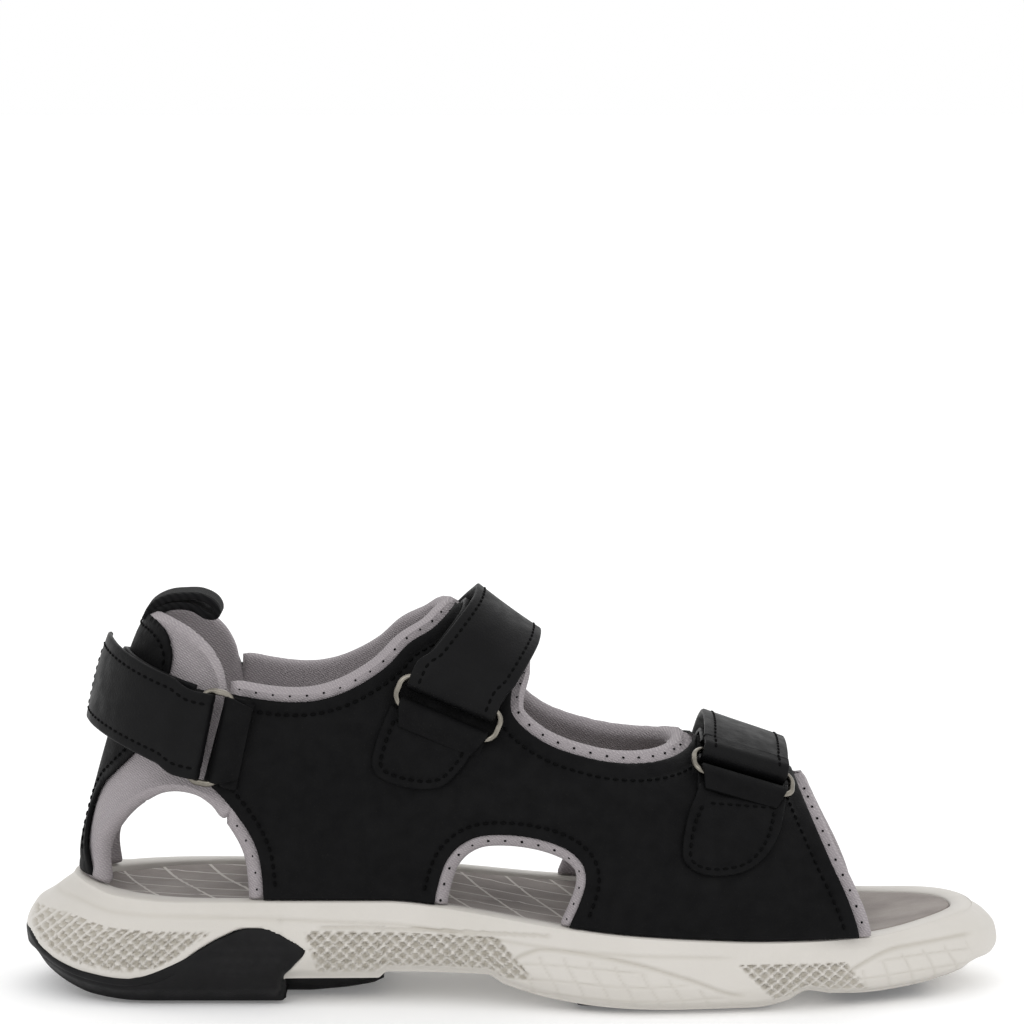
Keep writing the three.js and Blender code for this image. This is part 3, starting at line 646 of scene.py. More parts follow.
def thread_finish():
    f = Finish("stitch_thread", 0.8, specular=0.08)
    f.colour(f.ramp(f.noise(900, 2), [(0.3, srgb(2, 2, 2)), (0.7, srgb(6, 6, 7))]))
    f.grain(f.wave(0.0005, "DIAGONAL"), 0.00006)
    return f.material


def finishes(context):
    """Every material, made once and then found by name."""
    colours = context.scene.sandal_colours
    if "sandal_midsole_foam" not in bpy.data.materials:
        foam_finish(colours)
        rubber_finish(colours)
        leather_finish("upper_synthetic", (5, 5, 6), colours.upper, 0.66, 0.00006, 0.0)
        leather_finish("strap_synthetic", (8, 8, 9), colours.strap, 0.48, 0.00004, 0.0)
        mesh_finish(colours)
        footbed_finish(colours)
        webbing_finish("pull_webbing", (22, 22, 23))
        pile_finish("loop_tape", (24, 24, 26), 1800)
        pile_finish("hook_tape", (30, 30, 33), 1400)
        nickel_finish()
        board_finish()
        thread_finish()
    return bpy.data.materials


def dress(piece, material):
    """Gives a piece one of the sandal's materials."""
    piece.data.materials.clear()
    piece.data.materials.append(bpy.data.materials[f"sandal_{material}"])


# ---- Stitches ----------------------------------------------------------------
STITCH_RINGS = [(-0.5, 0.35, -0.8), (-0.3, 0.9, 0.7), (0, 1, 1), (0.3, 0.9, 0.7), (0.5, 0.35, -0.8)]
STITCH_SIDES = 6


def stitch_row(points, normals, pitch, length, size, lift):
    """Faces and points of a row of short thread stitches along a path lying on a surface."""
    line = np.concatenate([points, normals], axis=1)
    at, ahead = resample(line, pitch)
    verts, faces = [], []
    for row, step in zip(at, ahead):
        along = step[:3] / max(np.linalg.norm(step[:3]), MERGED)
        up = row[3:] / np.linalg.norm(row[3:])
        side = np.cross(up, along)
        first = len(verts)
        for t, wide, high in STITCH_RINGS:
            for a in range(STITCH_SIDES):
                turn = a * math.pi / 3
                verts.append(row[:3] + along * t * length + side * math.cos(turn) * size * wide
                             + up * (lift * high + math.sin(turn) * size * 0.7 * wide))
        for r in range(len(STITCH_RINGS) - 1):
            near = first + r * STITCH_SIDES
            for a in range(STITCH_SIDES):
                b = (a + 1) % STITCH_SIDES
                faces.append([near + a, near + b, near + STITCH_SIDES + b, near + STITCH_SIDES + a])
        last = first + (len(STITCH_RINGS) - 1) * STITCH_SIDES
        faces.append([first + a for a in range(STITCH_SIDES)])
        faces.append([last + a for a in range(STITCH_SIDES)])
    return verts, faces


def stitches(name, rows, body="sandal", kind="stitch"):
    """One piece holding every row of stitches of a part."""
    sizes = bpy.context.scene.sandal_sizes
    pitch = in_mm(getattr(sizes, f"{kind}_pitch"))
    length = in_mm(getattr(sizes, f"{kind}_length"))
    thread = in_mm(sizes.thread_radius)
    verts, faces = [], []
    for points, normals in rows:
        v, f = stitch_row(np.array(points), np.array(normals), pitch, length, thread, thread / 3)
        faces += [[i + len(verts) for i in face] for face in f]
        verts += v
    piece = new_piece(name, verts, faces, body=body)
    dress(piece, "stitch_thread")
    return piece


def side_path(flat, side, away):
    """A side-view line laid on the form at a distance: points and outward normals."""
    s, turn = settle(flat[:, 0], flat[:, 1], away, side)
    on = np.abs(turn) > 0.14
    s, turn = s[on], turn[on]
    return offset_point(s, turn, away), form_normal(s, turn)


# ---- Quarters, linings and heel --------------------------------------------------
def rim_line(x):
    """The height at which the upper meets the foam's rim."""
    return rim_z(x) + GAP


def quarter_outline(grow=0.0, window=0.0, seam=None):
    """The quarter's edge above the foam: over the top, down the front and round the window."""
    over = smooth_outline(QUARTER, QUARTER_CORNERS, OUTLINE_STEP)
    hole = smooth_outline(WINDOW, WINDOW_CORNERS, OUTLINE_STEP)
    if grow:
        over = eased_line(grow_line(over, grow), 4)
    if window:
        hole = eased_line(grow_line(hole, window), 2)
    over = opened(over[over[:, 1] > rim_line(over[:, 0])])
    hole = opened(hole[hole[:, 1] > rim_line(hole[:, 0])])
    if over[0, 0] > over[-1, 0]:
        over = over[::-1]
    if hole[0, 0] < hole[-1, 0]:
        hole = hole[::-1]
    if seam:
        over = over[over[:, 0] > seam]

    def foot(a, b):
        x = np.linspace(a, b, max(int(abs(a - b) / OUTLINE_STEP), 2))
        return np.stack([x, rim_line(x)], 1)

    front = foot(over[-1, 0], hole[0, 0])
    rear = foot(hole[-1, 0], over[0, 0])
    return np.vstack([over, front, hole, rear])


def free_distance(flat, outline):
    """Distance to the edges that are not sewn down into the foam."""
    low = outline[:, 1] < rim_line(outline[:, 0]) + 0.05
    best = np.full(len(flat), 1e9)
    count = len(outline)
    for i in range(count):
        j = (i + 1) % count
        if low[i] and low[j]:
            continue
        best = np.minimum(best, edge_distance(flat, outline[[i, j]], False))
    return best


def soft_panel(name, outline, side, layer, edge, groove=None, bulge=None, spacing=2.2, **where):
    """A panel of the upper on one side, between two distances from the form, with rounded edges."""
    flat, tris, depth = panel_mesh(outline, spacing, edge_loops(edge, groove))
    free = free_distance(flat, outline)
    half = (layer[1] - layer[0]) / 2
    middle = (layer[0] + layer[1]) / 2
    round_share = 0.12 + 0.88 * rounded(np.minimum(depth, free), edge)
    high = middle + half * round_share
    low = middle - half * round_share
    if groove:
        high = high - 0.36 * np.exp(-((free - groove) / 0.55) ** 2)
    if bulge:
        high = high + bulge(flat, free)
    s, turn = settle(flat[:, 0], flat[:, 1], 4.5, side)
    return skinned(name, form_point(s, turn), form_normal(s, turn), tris, depth, low, high, **where)


def edge_swell(free):
    """Share of the padding's swell at a distance in from the edge."""
    return np.clip(1 - np.abs(free - 1.9) / 2.6, 0, 1)


def puckered(flat, free):
    """The padded edge swelling out past the shell, pinched where it is quilted."""
    swell = in_mm(bpy.context.scene.sandal_sizes.quarter_swell) * edge_swell(free)
    return swell * (1 + 0.12 * np.sin(flat[:, 0] * 1.3) * np.sin(flat[:, 1] * 1.1))


def mirrored_heel(outline):
    """The heel's side-view outline as one closed line round the back, in (q, z)."""
    line = smooth_outline(outline, set(), 1.4)
    line = opened(line[line[:, 1] > rim_line(np.maximum(line[:, 0], 15))])
    away = 5 if outline is COUNTER else 2
    s, turn = settle(line[:, 0], line[:, 1], away, -1)
    point = offset_point(s, turn, away)
    keep = s > 1.0
    q, z = s[keep], point[keep, 2]
    if z[0] > z[-1]:
        q, z = q[::-1], z[::-1]
    return q, z


def heel_panel(name, outline, layer, edge, bulge=0.0, groove=None, **where):
    """A panel that wraps round the heel, and its outline in (q, z)."""
    q, z = mirrored_heel(outline)
    foot = np.arange(-q[0], q[0], 1.4)
    lid = np.arange(q[-1], -q[-1], -1.4)
    line = np.vstack([
        np.stack([foot, np.full_like(foot, z[0])], 1),
        np.stack([q, z], 1),
        np.stack([lid, np.full_like(lid, z[-1])], 1),
        np.stack([-q[::-1], z[::-1]], 1),
    ])
    keep = np.linalg.norm(line - np.roll(line, 1, 0), axis=1) > 0.25
    line = line[keep]
    flat, tris, depth = panel_mesh(line, 2.0, edge_loops(edge, groove))
    s = np.abs(flat[:, 0])
    side = np.where(flat[:, 0] < 0, -1.0, 1.0)
    turn = turn_at(s, flat[:, 1], 1.0) * side
    base, normal = form_point(s, turn), form_normal(s, turn)
    half, middle = (layer[1] - layer[0]) / 2, (layer[0] + layer[1]) / 2
    share = 0.12 + 0.88 * rounded(depth, edge)
    high = middle + half * share + bulge * edge_swell(depth)
    if groove:
        high = high - 0.25 * np.exp(-((depth - groove) / 0.55) ** 2)
    low = middle - half * share
    return skinned(name, base, normal, tris, depth, low, high, **where), line


def build_quarters(context):
    finishes(context)
    for name, side in (("lateral", -1), ("medial", 1)):
        outline = quarter_outline()
        quarter = soft_panel(f"{name}_quarter_shell", outline, side, SHELL, 0.6, groove=QUARTER_STITCH,
                             node=f"{name}_quarter", slot="upper_synthetic")
        dress(quarter, "upper_synthetic")
        run = grow_line(outline, -QUARTER_STITCH)
        run = run[free_distance(run, outline) < QUARTER_STITCH + 0.3]
        rows = [side_path(part, side, SHELL[1]) for part, in split_line(run, 6) if len(part) > 10]
        stitches(f"{name}_quarter_stitches", rows)
        edge = quarter_outline(LINING_PROUD, -WINDOW_PROUD, LINING_SEAM + 0.15)
        lining = soft_panel(f"{name}_lining_pad", edge, side, LINING, 2.0, bulge=puckered, spacing=2.4,
                            node=f"{name}_lining", slot="lining_mesh")
        dress(lining, "lining_mesh")
        holes = quarter_outline(1.7, -1.4, LINING_SEAM + 2)
        holes = holes[free_distance(holes, holes) < 0.01]
        marks = [side_path(part, side, LINING[1] + 1.05) for part, in split_line(holes, 5) if len(part) > 6]
        stitches(f"{name}_needle_marks", marks, kind="needle")


def build_heel(context):
    finishes(context)
    counter, line = heel_panel("heel_counter_shell", COUNTER, SHELL, 0.6, groove=COUNTER_STITCH,
                               node="heel_counter", slot="upper_synthetic")
    dress(counter, "upper_synthetic")
    swell = in_mm(context.scene.sandal_sizes.heel_swell)
    lining, _ = heel_panel("heel_lining_pad", HEEL_LINING, LINING, 2.0, bulge=swell,
                           node="heel_lining", slot="lining_mesh")
    dress(lining, "lining_mesh")
    run = grow_line(line, -COUNTER_STITCH)
    run = run[run[:, 1] > 36]
    s, side = np.abs(run[:, 0]), np.where(run[:, 0] < 0, -1.0, 1.0)
    turn = turn_at(s, run[:, 1], 1.0) * side
    points, normals = offset_point(s, turn, SHELL[1]), form_normal(s, turn)
    stitches("heel_counter_stitches", [row for row in split_line(points, 6, normals) if len(row[0]) > 4])
    tab = np.array([(34, 101.9), (36, 105.4), (40, 107.7), (44.5, 108.3), (49.5, 108), (53.2, 105.6),
                    (53.5, 103.2), (51, 103), (47.5, 105), (43, 105.7), (38.6, 104.8), (35.6, 103)])
    path = smooth_outline(tab, {0}, 0.6)
    ahead = np.roll(path, -1, 0) - np.roll(path, 1, 0)
    across = np.stack([-ahead[:, 1], ahead[:, 0]], 1)
    across /= np.linalg.norm(across, axis=1, keepdims=True)
    edges = np.array([-7, -6.8, -6.3, -5, -2.5, 0, 2.5, 5, 6.3, 6.8, 7])
    thick = 1.1 * (0.25 + 0.75 * rounded(7 - np.abs(edges), 0.7))
    middle = np.array([[(p[0], y, p[1]) for y in edges] for p in path])
    normal = np.array([[(n[0], 0, n[1]) for _ in edges] for n in across])
    strap = slab("pull_tab_loop", middle, normal, np.tile(thick, (len(path), 1)), node="pull_tab",
                 body="pull_loop", slot="pull_webbing")
    dress(strap, "pull_webbing")


# ---- Straps ----------------------------------------------------------------------
STRAPS = {
    "heel": dict(fold=[(47.2, 62.7), (52, 85.9)], top=[(5, 75.5), (5, 98)],
                 inner=[(62, 55.5), (66.5, 77)], free=[(9, 74), (9, 97)]),
    "instep": dict(fold=[(107.6, 89.7), (131.1, 80)], top=[(133, 119), (158, 119)],
                   inner=[(99, 80), (123.5, 69)], free=[(117.5, 101.5), (137.5, 89.5)]),
    "toe": dict(fold=[(186.7, 68.2), (209.9, 60.8)], top=[(189.5, 82), (213, 76)],
                inner=[(184, 49), (207.5, 42)], free=[(185.8, 61), (209.2, 54)]),
}


def unit(v):
    """A direction of length one."""
    return v / np.linalg.norm(v)


def settled_point(x, z, away):
    """The point on the outer side, at a distance from the form, that shows at (x, z)."""
    s, turn = settle(np.array([x]), np.array([z]), away, -1)
    return offset_point(s, turn, np.array([away]))[0]


class Bar:
    """The frame of a strap's fold: mid, across along the bar, out from the foot, down the strap."""

    def __init__(self, name):
        fold, top = np.array(STRAPS[name]["fold"]), np.array(STRAPS[name]["top"])
        ends = [settled_point(*p, FOLD_OFFSET) for p in fold]
        self.width = np.linalg.norm(ends[1] - ends[0])
        self.across = unit(ends[1] - ends[0])
        self.mid = settled_point(*fold.mean(0), FOLD_OFFSET)
        probe = settled_point(*(fold.mean(0) * 0.98 + top.mean(0) * 0.02), FOLD_OFFSET)
        self.turn(self.mid - probe)

    def turn(self, down):
        """Points the frame down the strap."""
        self.down = unit(down - self.across * (down @ self.across))
        self.out = unit(np.cross(self.across, self.down))
        if self.out[1] > 0:
            self.out = -self.out

    def at(self, e, down, out):
        """Points at a share across the bar, a distance down the strap and one out from the foot."""
        e, down, out = np.broadcast_arrays(e, down, out)
        return (self.mid + (e[..., None] - 0.5) * self.width * self.across
                + down[..., None] * self.down + out[..., None] * self.out)


class RingBar(Bar):
    """The frame of the bar that holds the ring to its tab."""

    def __init__(self, name):
        super().__init__(name)
        aim = self.mid + self.down * RING_BARS
        seat = settled_point(aim[0], aim[2], TAB[0] + TUBE_OUTER)
        self.turn(seat - self.mid)
        self.mid = self.mid + self.down * RING_BARS


def strap_grid(name, far, away, shares, rows, first=0.0, trim=0.0):
    """Middle points, normals and the run along each line of a strap, fold to far end."""
    spec = {k: np.array(v, float) for k, v in STRAPS[name].items()}
    share = np.asarray(shares)[:, None, None]
    line = {k: v[0] * (1 - share) + v[1] * share for k, v in spec.items()}
    t = np.linspace(0, 1, 44)[None, :, None]
    found = []
    for side, start in ((-1, "fold"), (1, far)):
        p = line[start] + (line["top"] - line[start]) * t
        s, turn = settle(p[..., 0], p[..., 1], away, side)
        at = offset_point(s, turn, np.full(s.shape, away))
        found.append((side, p, s, turn, at))
    middle, normal, run = [], [], []
    for k in range(len(shares)):
        table = []
        for side, p, s, turn, at in found:
            if name == "heel":
                ok = np.abs(at[k, :, 0] - p[k, :, 0]) < 0.3
                table += list(zip(s[k, ok] * side, at[k, ok, 2]))
            else:
                ok = np.abs(turn[k]) > 0.05
                table += list(zip(turn[k, ok], s[k, ok]))
        table = np.array(sorted(table))
        begin, end = table[0, 0], table[-1, 0]
        if name == "heel" and far == "free":
            end = 0.5
        c = np.linspace(begin, end, 160)
        o = np.interp(c, table[:, 0], table[:, 1])
        smooth = np.convolve(np.pad(o, 12, mode="edge"), np.ones(25) / 25, mode="valid")
        ease = np.clip(1 - np.abs(c) / (20 if name == "heel" else 0.3), 0, 1)
        o = o * (1 - ease) + smooth * ease
        if name == "heel":
            s, turn = np.abs(c), turn_at(np.abs(c), o, 1.0) * np.where(c < 0, -1.0, 1.0)
        else:
            s, turn = o, c
        p = offset_point(s, turn, np.full(len(s), away))
        n = form_normal(s, turn)
        long = np.concatenate([[0], np.cumsum(np.linalg.norm(np.diff(p, axis=0), axis=1))])
        at = first + (long[-1] - trim - first) * rows
        middle.append(np.stack([np.interp(at, long, p[:, k]) for k in range(3)], 1))
        normal.append(np.stack([np.interp(at, long, n[:, k]) for k in range(3)], 1))
        run.append(at)
    normal = np.array(normal).transpose(1, 0, 2)
    normal /= np.linalg.norm(normal, axis=2, keepdims=True)
    return np.array(middle).transpose(1, 0, 2), normal, np.array(run).T


def cross_shares(width, inset=0.0, stitch=STRAP_STITCH):
    """Shares across a strap, close together at its edges and its stitch lines."""
    reach = width - 2 * inset
    near = np.array([0, 0.12, 0.35, 0.8, 1.6, stitch - 0.7, stitch - 0.3, stitch, stitch + 0.3,
                     stitch + 0.7])
    inner = np.linspace(stitch + 2.2, reach / 2, 4)
    half = np.concatenate([near, inner])
    mm = np.concatenate([half, reach - half[-2::-1]])
    return (mm + inset) / width, np.minimum(mm, reach - mm)


def sheet_half(edge, ends, thick, radius=0.6, groove=None):
    """Half thickness over a strap from its distance to the side edges and to its ends."""
    d = np.minimum(edge[None, :] * np.ones_like(ends), ends)
    half = thick / 2 * (0.15 + 0.85 * rounded(d, radius))
    if groove:
        half = half - 0.12 * np.exp(-((edge[None, :] - groove) / 0.35) ** 2)
    return half


def row_shares(count, crowd):
    """Shares from 0 to 1, with a few crowded rows close to both ends."""
    near = np.array(crowd)
    return np.concatenate([near, np.linspace(near[-1], 1 - near[-1], count)[1:-1], 1 - near[::-1]])


def strap_closure(name):
    """The sewn strap, its fold and flap, and the tape between them."""
    bar = Bar(name)
    shares, edge = cross_shares(bar.width)
    crowd = [0, 0.0015, 0.005, 0.012]
    far = row_shares(64, crowd)
    base_mid, base_normal, run = strap_grid(name, "inner", sum(STRAP) / 2, shares, far, first=2.2)
    long = run[-1:, :]
    half = sheet_half(edge, np.minimum(run - run[:1], long - run), STRAP_THICKNESS, groove=STRAP_STITCH)
    base = slab(f"{name}_strap_base", base_mid, base_normal, half, node=f"{name}_strap",
                slot="strap_synthetic")
    dress(base, "strap_synthetic")

    flap_mid, flap_normal, run = strap_grid(name, "free", sum(FLAP) / 2, shares, far)
    reach = (FLAP[0] + FLAP[1]) / 2 - FOLD_OFFSET
    ease = np.clip((run - 2) / 8, 0, 1)
    ease = (ease * ease * (3 - 2 * ease))[..., None]
    straight = bar.at(shares[None, :], -run, reach)
    middle = straight * (1 - ease) + flap_mid * ease
    normal = bar.out * (1 - ease) + flap_normal * ease
    normal /= np.linalg.norm(normal, axis=2, keepdims=True)
    fold_mid, fold_normal = [], []
    for down in (-4.2, -3.6, -2.4, -1.2):
        fold_mid.append(bar.at(shares, down, -reach))
        fold_normal.append(np.tile(-bar.out, (len(shares), 1)))
    for a in np.linspace(-90, 90, 15)[:-1]:
        down, out = math.cos(math.radians(a)), math.sin(math.radians(a))
        fold_mid.append(bar.at(shares, reach * down, reach * out))
        fold_normal.append(np.tile(bar.down * down + bar.out * out, (len(shares), 1)))
    lead = len(fold_mid)
    middle = np.concatenate([np.array(fold_mid), middle])
    normal = np.concatenate([np.array(fold_normal), normal])
    ends = np.concatenate([np.full((lead, len(shares)), 9.0), run[-1:, :] - run])
    half = sheet_half(edge, ends, STRAP_THICKNESS, groove=STRAP_STITCH)
    half[0] *= 0.3
    half[1] *= 0.6
    flap = slab(f"{name}_strap_flap", middle, normal, half, node=f"{name}_flap", body=None,
                slot="strap_synthetic")
    dress(flap, "strap_synthetic")

    hinge = bar.at(np.array(0.5), -FOLD_LEG - GAP / 2, reach)
    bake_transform(flap)

    top_rows = []
    for stitch in (STRAP_STITCH, bar.width - STRAP_STITCH):
        column = int(np.argmin(np.abs(shares * bar.width - stitch)))
        points = middle[lead - 3:, column] + normal[lead - 3:, column] * 0.66
        top_rows.append((points[:-6], normal[lead - 3:, column][:-6]))
    centre = run[:, len(shares) // 2]
    back = max(int(np.argmin(np.abs(centre - (centre[-1] - STRAP_STITCH)))), 1)
    cols = slice(8, len(shares) - 8)
    top_rows.append((middle[lead + back, cols] + normal[lead + back, cols] * 0.66, normal[lead + back, cols]))
    thread = stitches(f"{name}_flap_stitches", top_rows, body=None)
    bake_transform(thread)
    base_rows = []
    for stitch in (STRAP_STITCH, bar.width - STRAP_STITCH):
        column = int(np.argmin(np.abs(shares * bar.width - stitch)))
        points = base_mid[36:-5, column] + base_normal[36:-5, column] * 0.66
        base_rows.append((points, base_normal[36:-5, column]))
    stitches(f"{name}_strap_stitches", base_rows)

    inner_shares, inner_edge = cross_shares(bar.width, inset=STRAP_STITCH)
    for label, layer, first in (("loop", LOOP, 4.2), ("hook", HOOK, 5.2)):
        mid, nrm, run = strap_grid(name, "free", sum(layer) / 2, inner_shares, far, first=first, trim=1.5)
        half = sheet_half(inner_edge, np.minimum(run - run[:1], run[-1:] - run), TAPE_THICKNESS, 0.4)
        body = "sandal" if label == "loop" else None
        patch = slab(f"{name}_{label}_tape", mid, nrm, half, node=f"{name}_{label}_patch", body=body,
                     slot=f"{label}_tape")
        dress(patch, f"{label}_tape")
        if label == "hook":
            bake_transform(patch)


def ring_and_tab(name):
    """The ring, and the tab that folds round its lower bar and is sewn to the quarter."""
    bar = RingBar(name)
    centre = bar.mid - bar.down * RING_BARS / 2
    reach = np.array([bar.width / 2 + RING_REACH[name] - RING_CORNER, RING_BARS / 2 - RING_CORNER])
    rows = []
    for i in range(96):
        a = (i + 0.5) / 96 * 2 * math.pi
        way = np.array([math.cos(a), math.sin(a)])
        spot = np.sign(way) * reach + way * RING_CORNER
        ahead = bar.across * way[0] + bar.down * way[1]
        core = centre + bar.across * spot[0] + bar.down * spot[1]
        rows.append([core + ahead * BAR_RADIUS * math.cos(b) + bar.out * BAR_RADIUS * math.sin(b)
                     for b in np.linspace(0, 2 * math.pi, 17)[:-1]])
    rows.append(rows[0])
    ring = grid_tube(f"{name}_ring_wire", rows, caps=False, node=f"{name}_ring", body=f"{name}_loop_ring",
                     slot="ring_nickel")
    dress(ring, "ring_nickel")

    shares, edge = cross_shares(bar.width, stitch=2.4)
    plate_out = sum(TAB) / 2 - (TAB[0] + TUBE_OUTER)
    path = [(5.6, plate_out + 1.0), (5.4, plate_out + 1.1), (4.8, plate_out + 1.25), (3.6, plate_out + 1.9),
            (2.4, plate_out + 2.7), (1.3, 1.66)]
    path += [(1.8 * math.cos(math.radians(a)), 1.8 * math.sin(math.radians(a))) for a in range(90, 271, 12)]
    path += [(1.2, -1.8), (3.0, -1.75), (5.0, -1.7)]
    path = np.array(path)
    ahead = np.gradient(path, axis=0)
    flat_normal = np.stack([ahead[:, 1], -ahead[:, 0]], 1)
    flat_normal /= np.linalg.norm(flat_normal, axis=1, keepdims=True)
    taper = [1 - 0.03 * max(d, 0) * (o > -1.5) for d, o in path]
    middle = np.array([bar.at(0.49 + (shares - 0.49) * k, d, o) for k, (d, o) in zip(taper, path)])
    normal = np.array([np.tile(bar.down * d + bar.out * o, (len(shares), 1)) for d, o in flat_normal])
    run = np.concatenate([[0], np.cumsum(np.linalg.norm(np.diff(path, axis=0), axis=1))])
    ends = np.minimum(run, run[-1] - run)[:, None] * np.ones(len(shares))
    half = sheet_half(edge, ends, 1.15, 0.5)
    chape = slab(f"{name}_ring_chape", middle, normal, half, slot="upper_synthetic")
    dress(chape, "upper_synthetic")

    if name == "heel":
        corners = [(50, 61.5), (55, 85.5), (65.5, 81.8), (60.6, 58.6)]
        line = smooth_outline(corners, {0, 1, 2, 3}, OUTLINE_STEP)
    else:
        line = smooth_outline(TAB_OUTLINES[name], {0, 1}, OUTLINE_STEP)
    low = bar.at(np.array([0.0, 1.0]), 0.4, plate_out)[:, [0, 2]]
    way = unit(bar.down[[0, 2]])
    clipped = opened(line[(line - low.mean(0)) @ way > 0.4])
    gap = np.linalg.norm(clipped[0] - clipped[-1])
    t = np.linspace(0, 1, max(int(gap / OUTLINE_STEP), 3))[1:-1, None]
    line = np.vstack([clipped, clipped[-1] * (1 - t) + clipped[0] * t])
    plate = soft_panel(f"{name}_ring_patch", line, -1, TAB, 0.6, groove=PATCH_STITCH, spacing=1.8,
                       node=f"{name}_ring_tab", slot="upper_synthetic")
    dress(plate, "upper_synthetic")
    if name == "heel":
        parts = [np.array([[63.4, 80.3], [61.2, 70.5], [58.6, 60.8]])]
    else:
        run = grow_line(line, -PATCH_STITCH)
        run = run[(run - low.mean(0)) @ way > 3.0]
        parts = [part for part, in split_line(run, 5) if len(part) > 3]
    rows = [side_path(part, -1, TAB[1]) for part in parts]
    stitches(f"{name}_patch_stitches", rows)


def build_straps(context):
    finishes(context)
    for name in STRAPS:
        strap_closure(name)
        ring_and_tab(name)


# ---- Sole --------------------------------------------------------------------------
heel_of = profile([(0, 3), (0.15, 0.4), (0.35, 0), (0.6, 2.5), (0.8, 8), (1, 13.5)])
toe_of = profile([(0, 6), (0.15, 1.2), (0.35, 0), (0.6, 0.6), (0.8, 3), (1, 7)])
inset_of = profile([(0, 5), (0.15, 1.6), (0.35, 0), (0.6, 0.6), (0.8, 1.3), (1, 2)])
rubber_top = profile([(-5, 16.8), (1, 17), (6, 13), (12, 10.5), (20, 8.6), (30, 7.6), (37, 8.5), (44, 11.6),
                      (50, 16), (56, 19.4), (62, 21.6), (66, 21.6), (71, 20), (76, 17.5), (79.5, 15.5)])
rubber_front = profile([(0, 73.5), (6.8, 73.5), (10.5, 76), (15.5, 79.5), (30, 79.5)])
pod_top = profile([(130, 9.5), (137, 15), (144, 17.2), (155, 16.4), (167, 14.4), (182, 10), (198, 5)])
toe_pod_top = profile([(219, 4.4), (228, 11.3), (240, 15.5), (262, 16.5)])


def side_width(x, side):
    """The sole's half width on one side."""
    return np.where(side < 0, lateral_width(x), medial_width(x))


def wall_point(x, share, side):
    """Point of the sole's outer wall at x and a share of the height from the bottom to the rim."""
    x, share, side = np.broadcast_arrays(np.asarray(x, float), share, side)
    first, end = heel_of(share), LENGTH - toe_of(share)
    x = np.clip(x, first, end)
    y = side * (side_width(x, side) - inset_of(share)) * end_round(x, first, end)
    low = bottom_z(x)
    return np.stack([x, y, low + (rim_z(x) - low) * share], -1)


def wall_station(a, share, side):
    """The wall point at a station from 0 at the heel's tip to 1 at the toe's."""
    a, share = np.broadcast_arrays(np.asarray(a, float), share)
    first, end = heel_of(share), LENGTH - toe_of(share)
    return wall_point(first + (end - first) * (1 - np.cos(math.pi * a)) / 2, share, side)


def station_of(x, share):
    """The station whose wall point lies at x."""
    first, end = heel_of(share), LENGTH - toe_of(share)
    return np.arccos(np.clip(1 - 2 * (x - first) / (end - first), -1, 1)) / math.pi


def ridged(value):
    """Distance of a value to the nearest whole number."""
    return np.abs(value - np.round(value))


def fade(value, low, high, soft):
    """1 between low and high, falling to 0 over a soft distance outside."""
    return np.clip((value - low) / soft, 0, 1) * np.clip((high - value) / soft, 0, 1)


def lattice(x, z, lean, pitch):
    """Depth of diamond pits between crossing ribs, 0 on the ribs to 1 in the pits."""
    a = (x + lean * z) / pitch
    b = (x - lean * z) / pitch
    near = np.minimum(ridged(a), ridged(b)) * pitch
    return np.clip((near - 0.36) / 0.34, 0, 1)


def foam_relief(p, pit):
    """How far the foam's wall is pressed in at each point, in millimetres."""
    x, z = p[..., 0], p[..., 2]
    heel_low = rubber_top(x) + 1.6
    heel_high = rim_z(x) - 8.2
    heel = fade(z, heel_low, heel_high, 0.5) * fade(x, 2, 54, 1.2)
    shank_low = np.maximum(bottom_z(x) + 2.0, 8.5)
    shank_high = 20.6 - 0.012 * (x - 80)
    shank = fade(z, shank_low, shank_high, 0.5) * fade(x, 80.5 - 0.3 * (z - 14), 140 - 0.9 * (z - 10), 0.9)
    toe_low = bottom_z(x) + 1.6
    toe = fade(z, toe_low, 13.5 - 0.02 * (x - 200), 0.5) * fade(x, 196 + (13 - z), 231 - 0.8 * (z - 6), 0.9)
    depth = pit * heel * lattice(x, z, 1.2, 3.5)
    depth = depth + 1.1 * pit * shank * lattice(x, z, 1.1, 3.4)
    depth = depth + pit * toe * lattice(x, z, 1.2, 3.5)
    depth = depth + (np.abs(z - (shank_high + 0.9)) < 0.5) * fade(x, 82, 146, 2) * 0.4
    lip_line = rim_z(x) - 5.2 + 1.1 * np.sin(x / 26)
    depth = depth + np.exp(-((z - lip_line) / 0.5) ** 2) * fade(x, 4, 196, 6) * 0.35
    pod = fade(x, 134, 198, 3) * fade(z, 2, pod_top(x) - 1.2, 1)
    warp_x = x + 0.45 * z + 0.5 * np.sin(z * 0.5 + x * 0.05)
    warp_z = z + 0.5 * np.sin(x * 0.12)
    grid = np.maximum(np.exp(-(ridged(warp_x / 6.5) * 6.5 / 0.35) ** 2),
                      np.exp(-(ridged(warp_z / 4.2) * 4.2 / 0.3) ** 2))
    toe_pod = fade(x, 222, 262, 3) * fade(z, 3, toe_pod_top(x) - 1.2, 1)
    lip = np.exp(-((z - pod_top(x)) / 0.55) ** 2) * fade(x, 131, 198, 3)
    toe_lip = np.exp(-((z - toe_pod_top(x)) / 0.55) ** 2) * fade(x, 219, 262, 3)
    depth = np.maximum(depth, 0.6 * np.maximum(lip, toe_lip))
    return depth + 0.3 * grid * np.maximum(pod, toe_pod)


def rubber_zone(p):
    """How far inside the heel rubber's outline each wall point lies."""
    x, z = p[..., 0], p[..., 2]
    return np.minimum(rubber_top(x) - z, (rubber_front(z) - x) * 0.8)


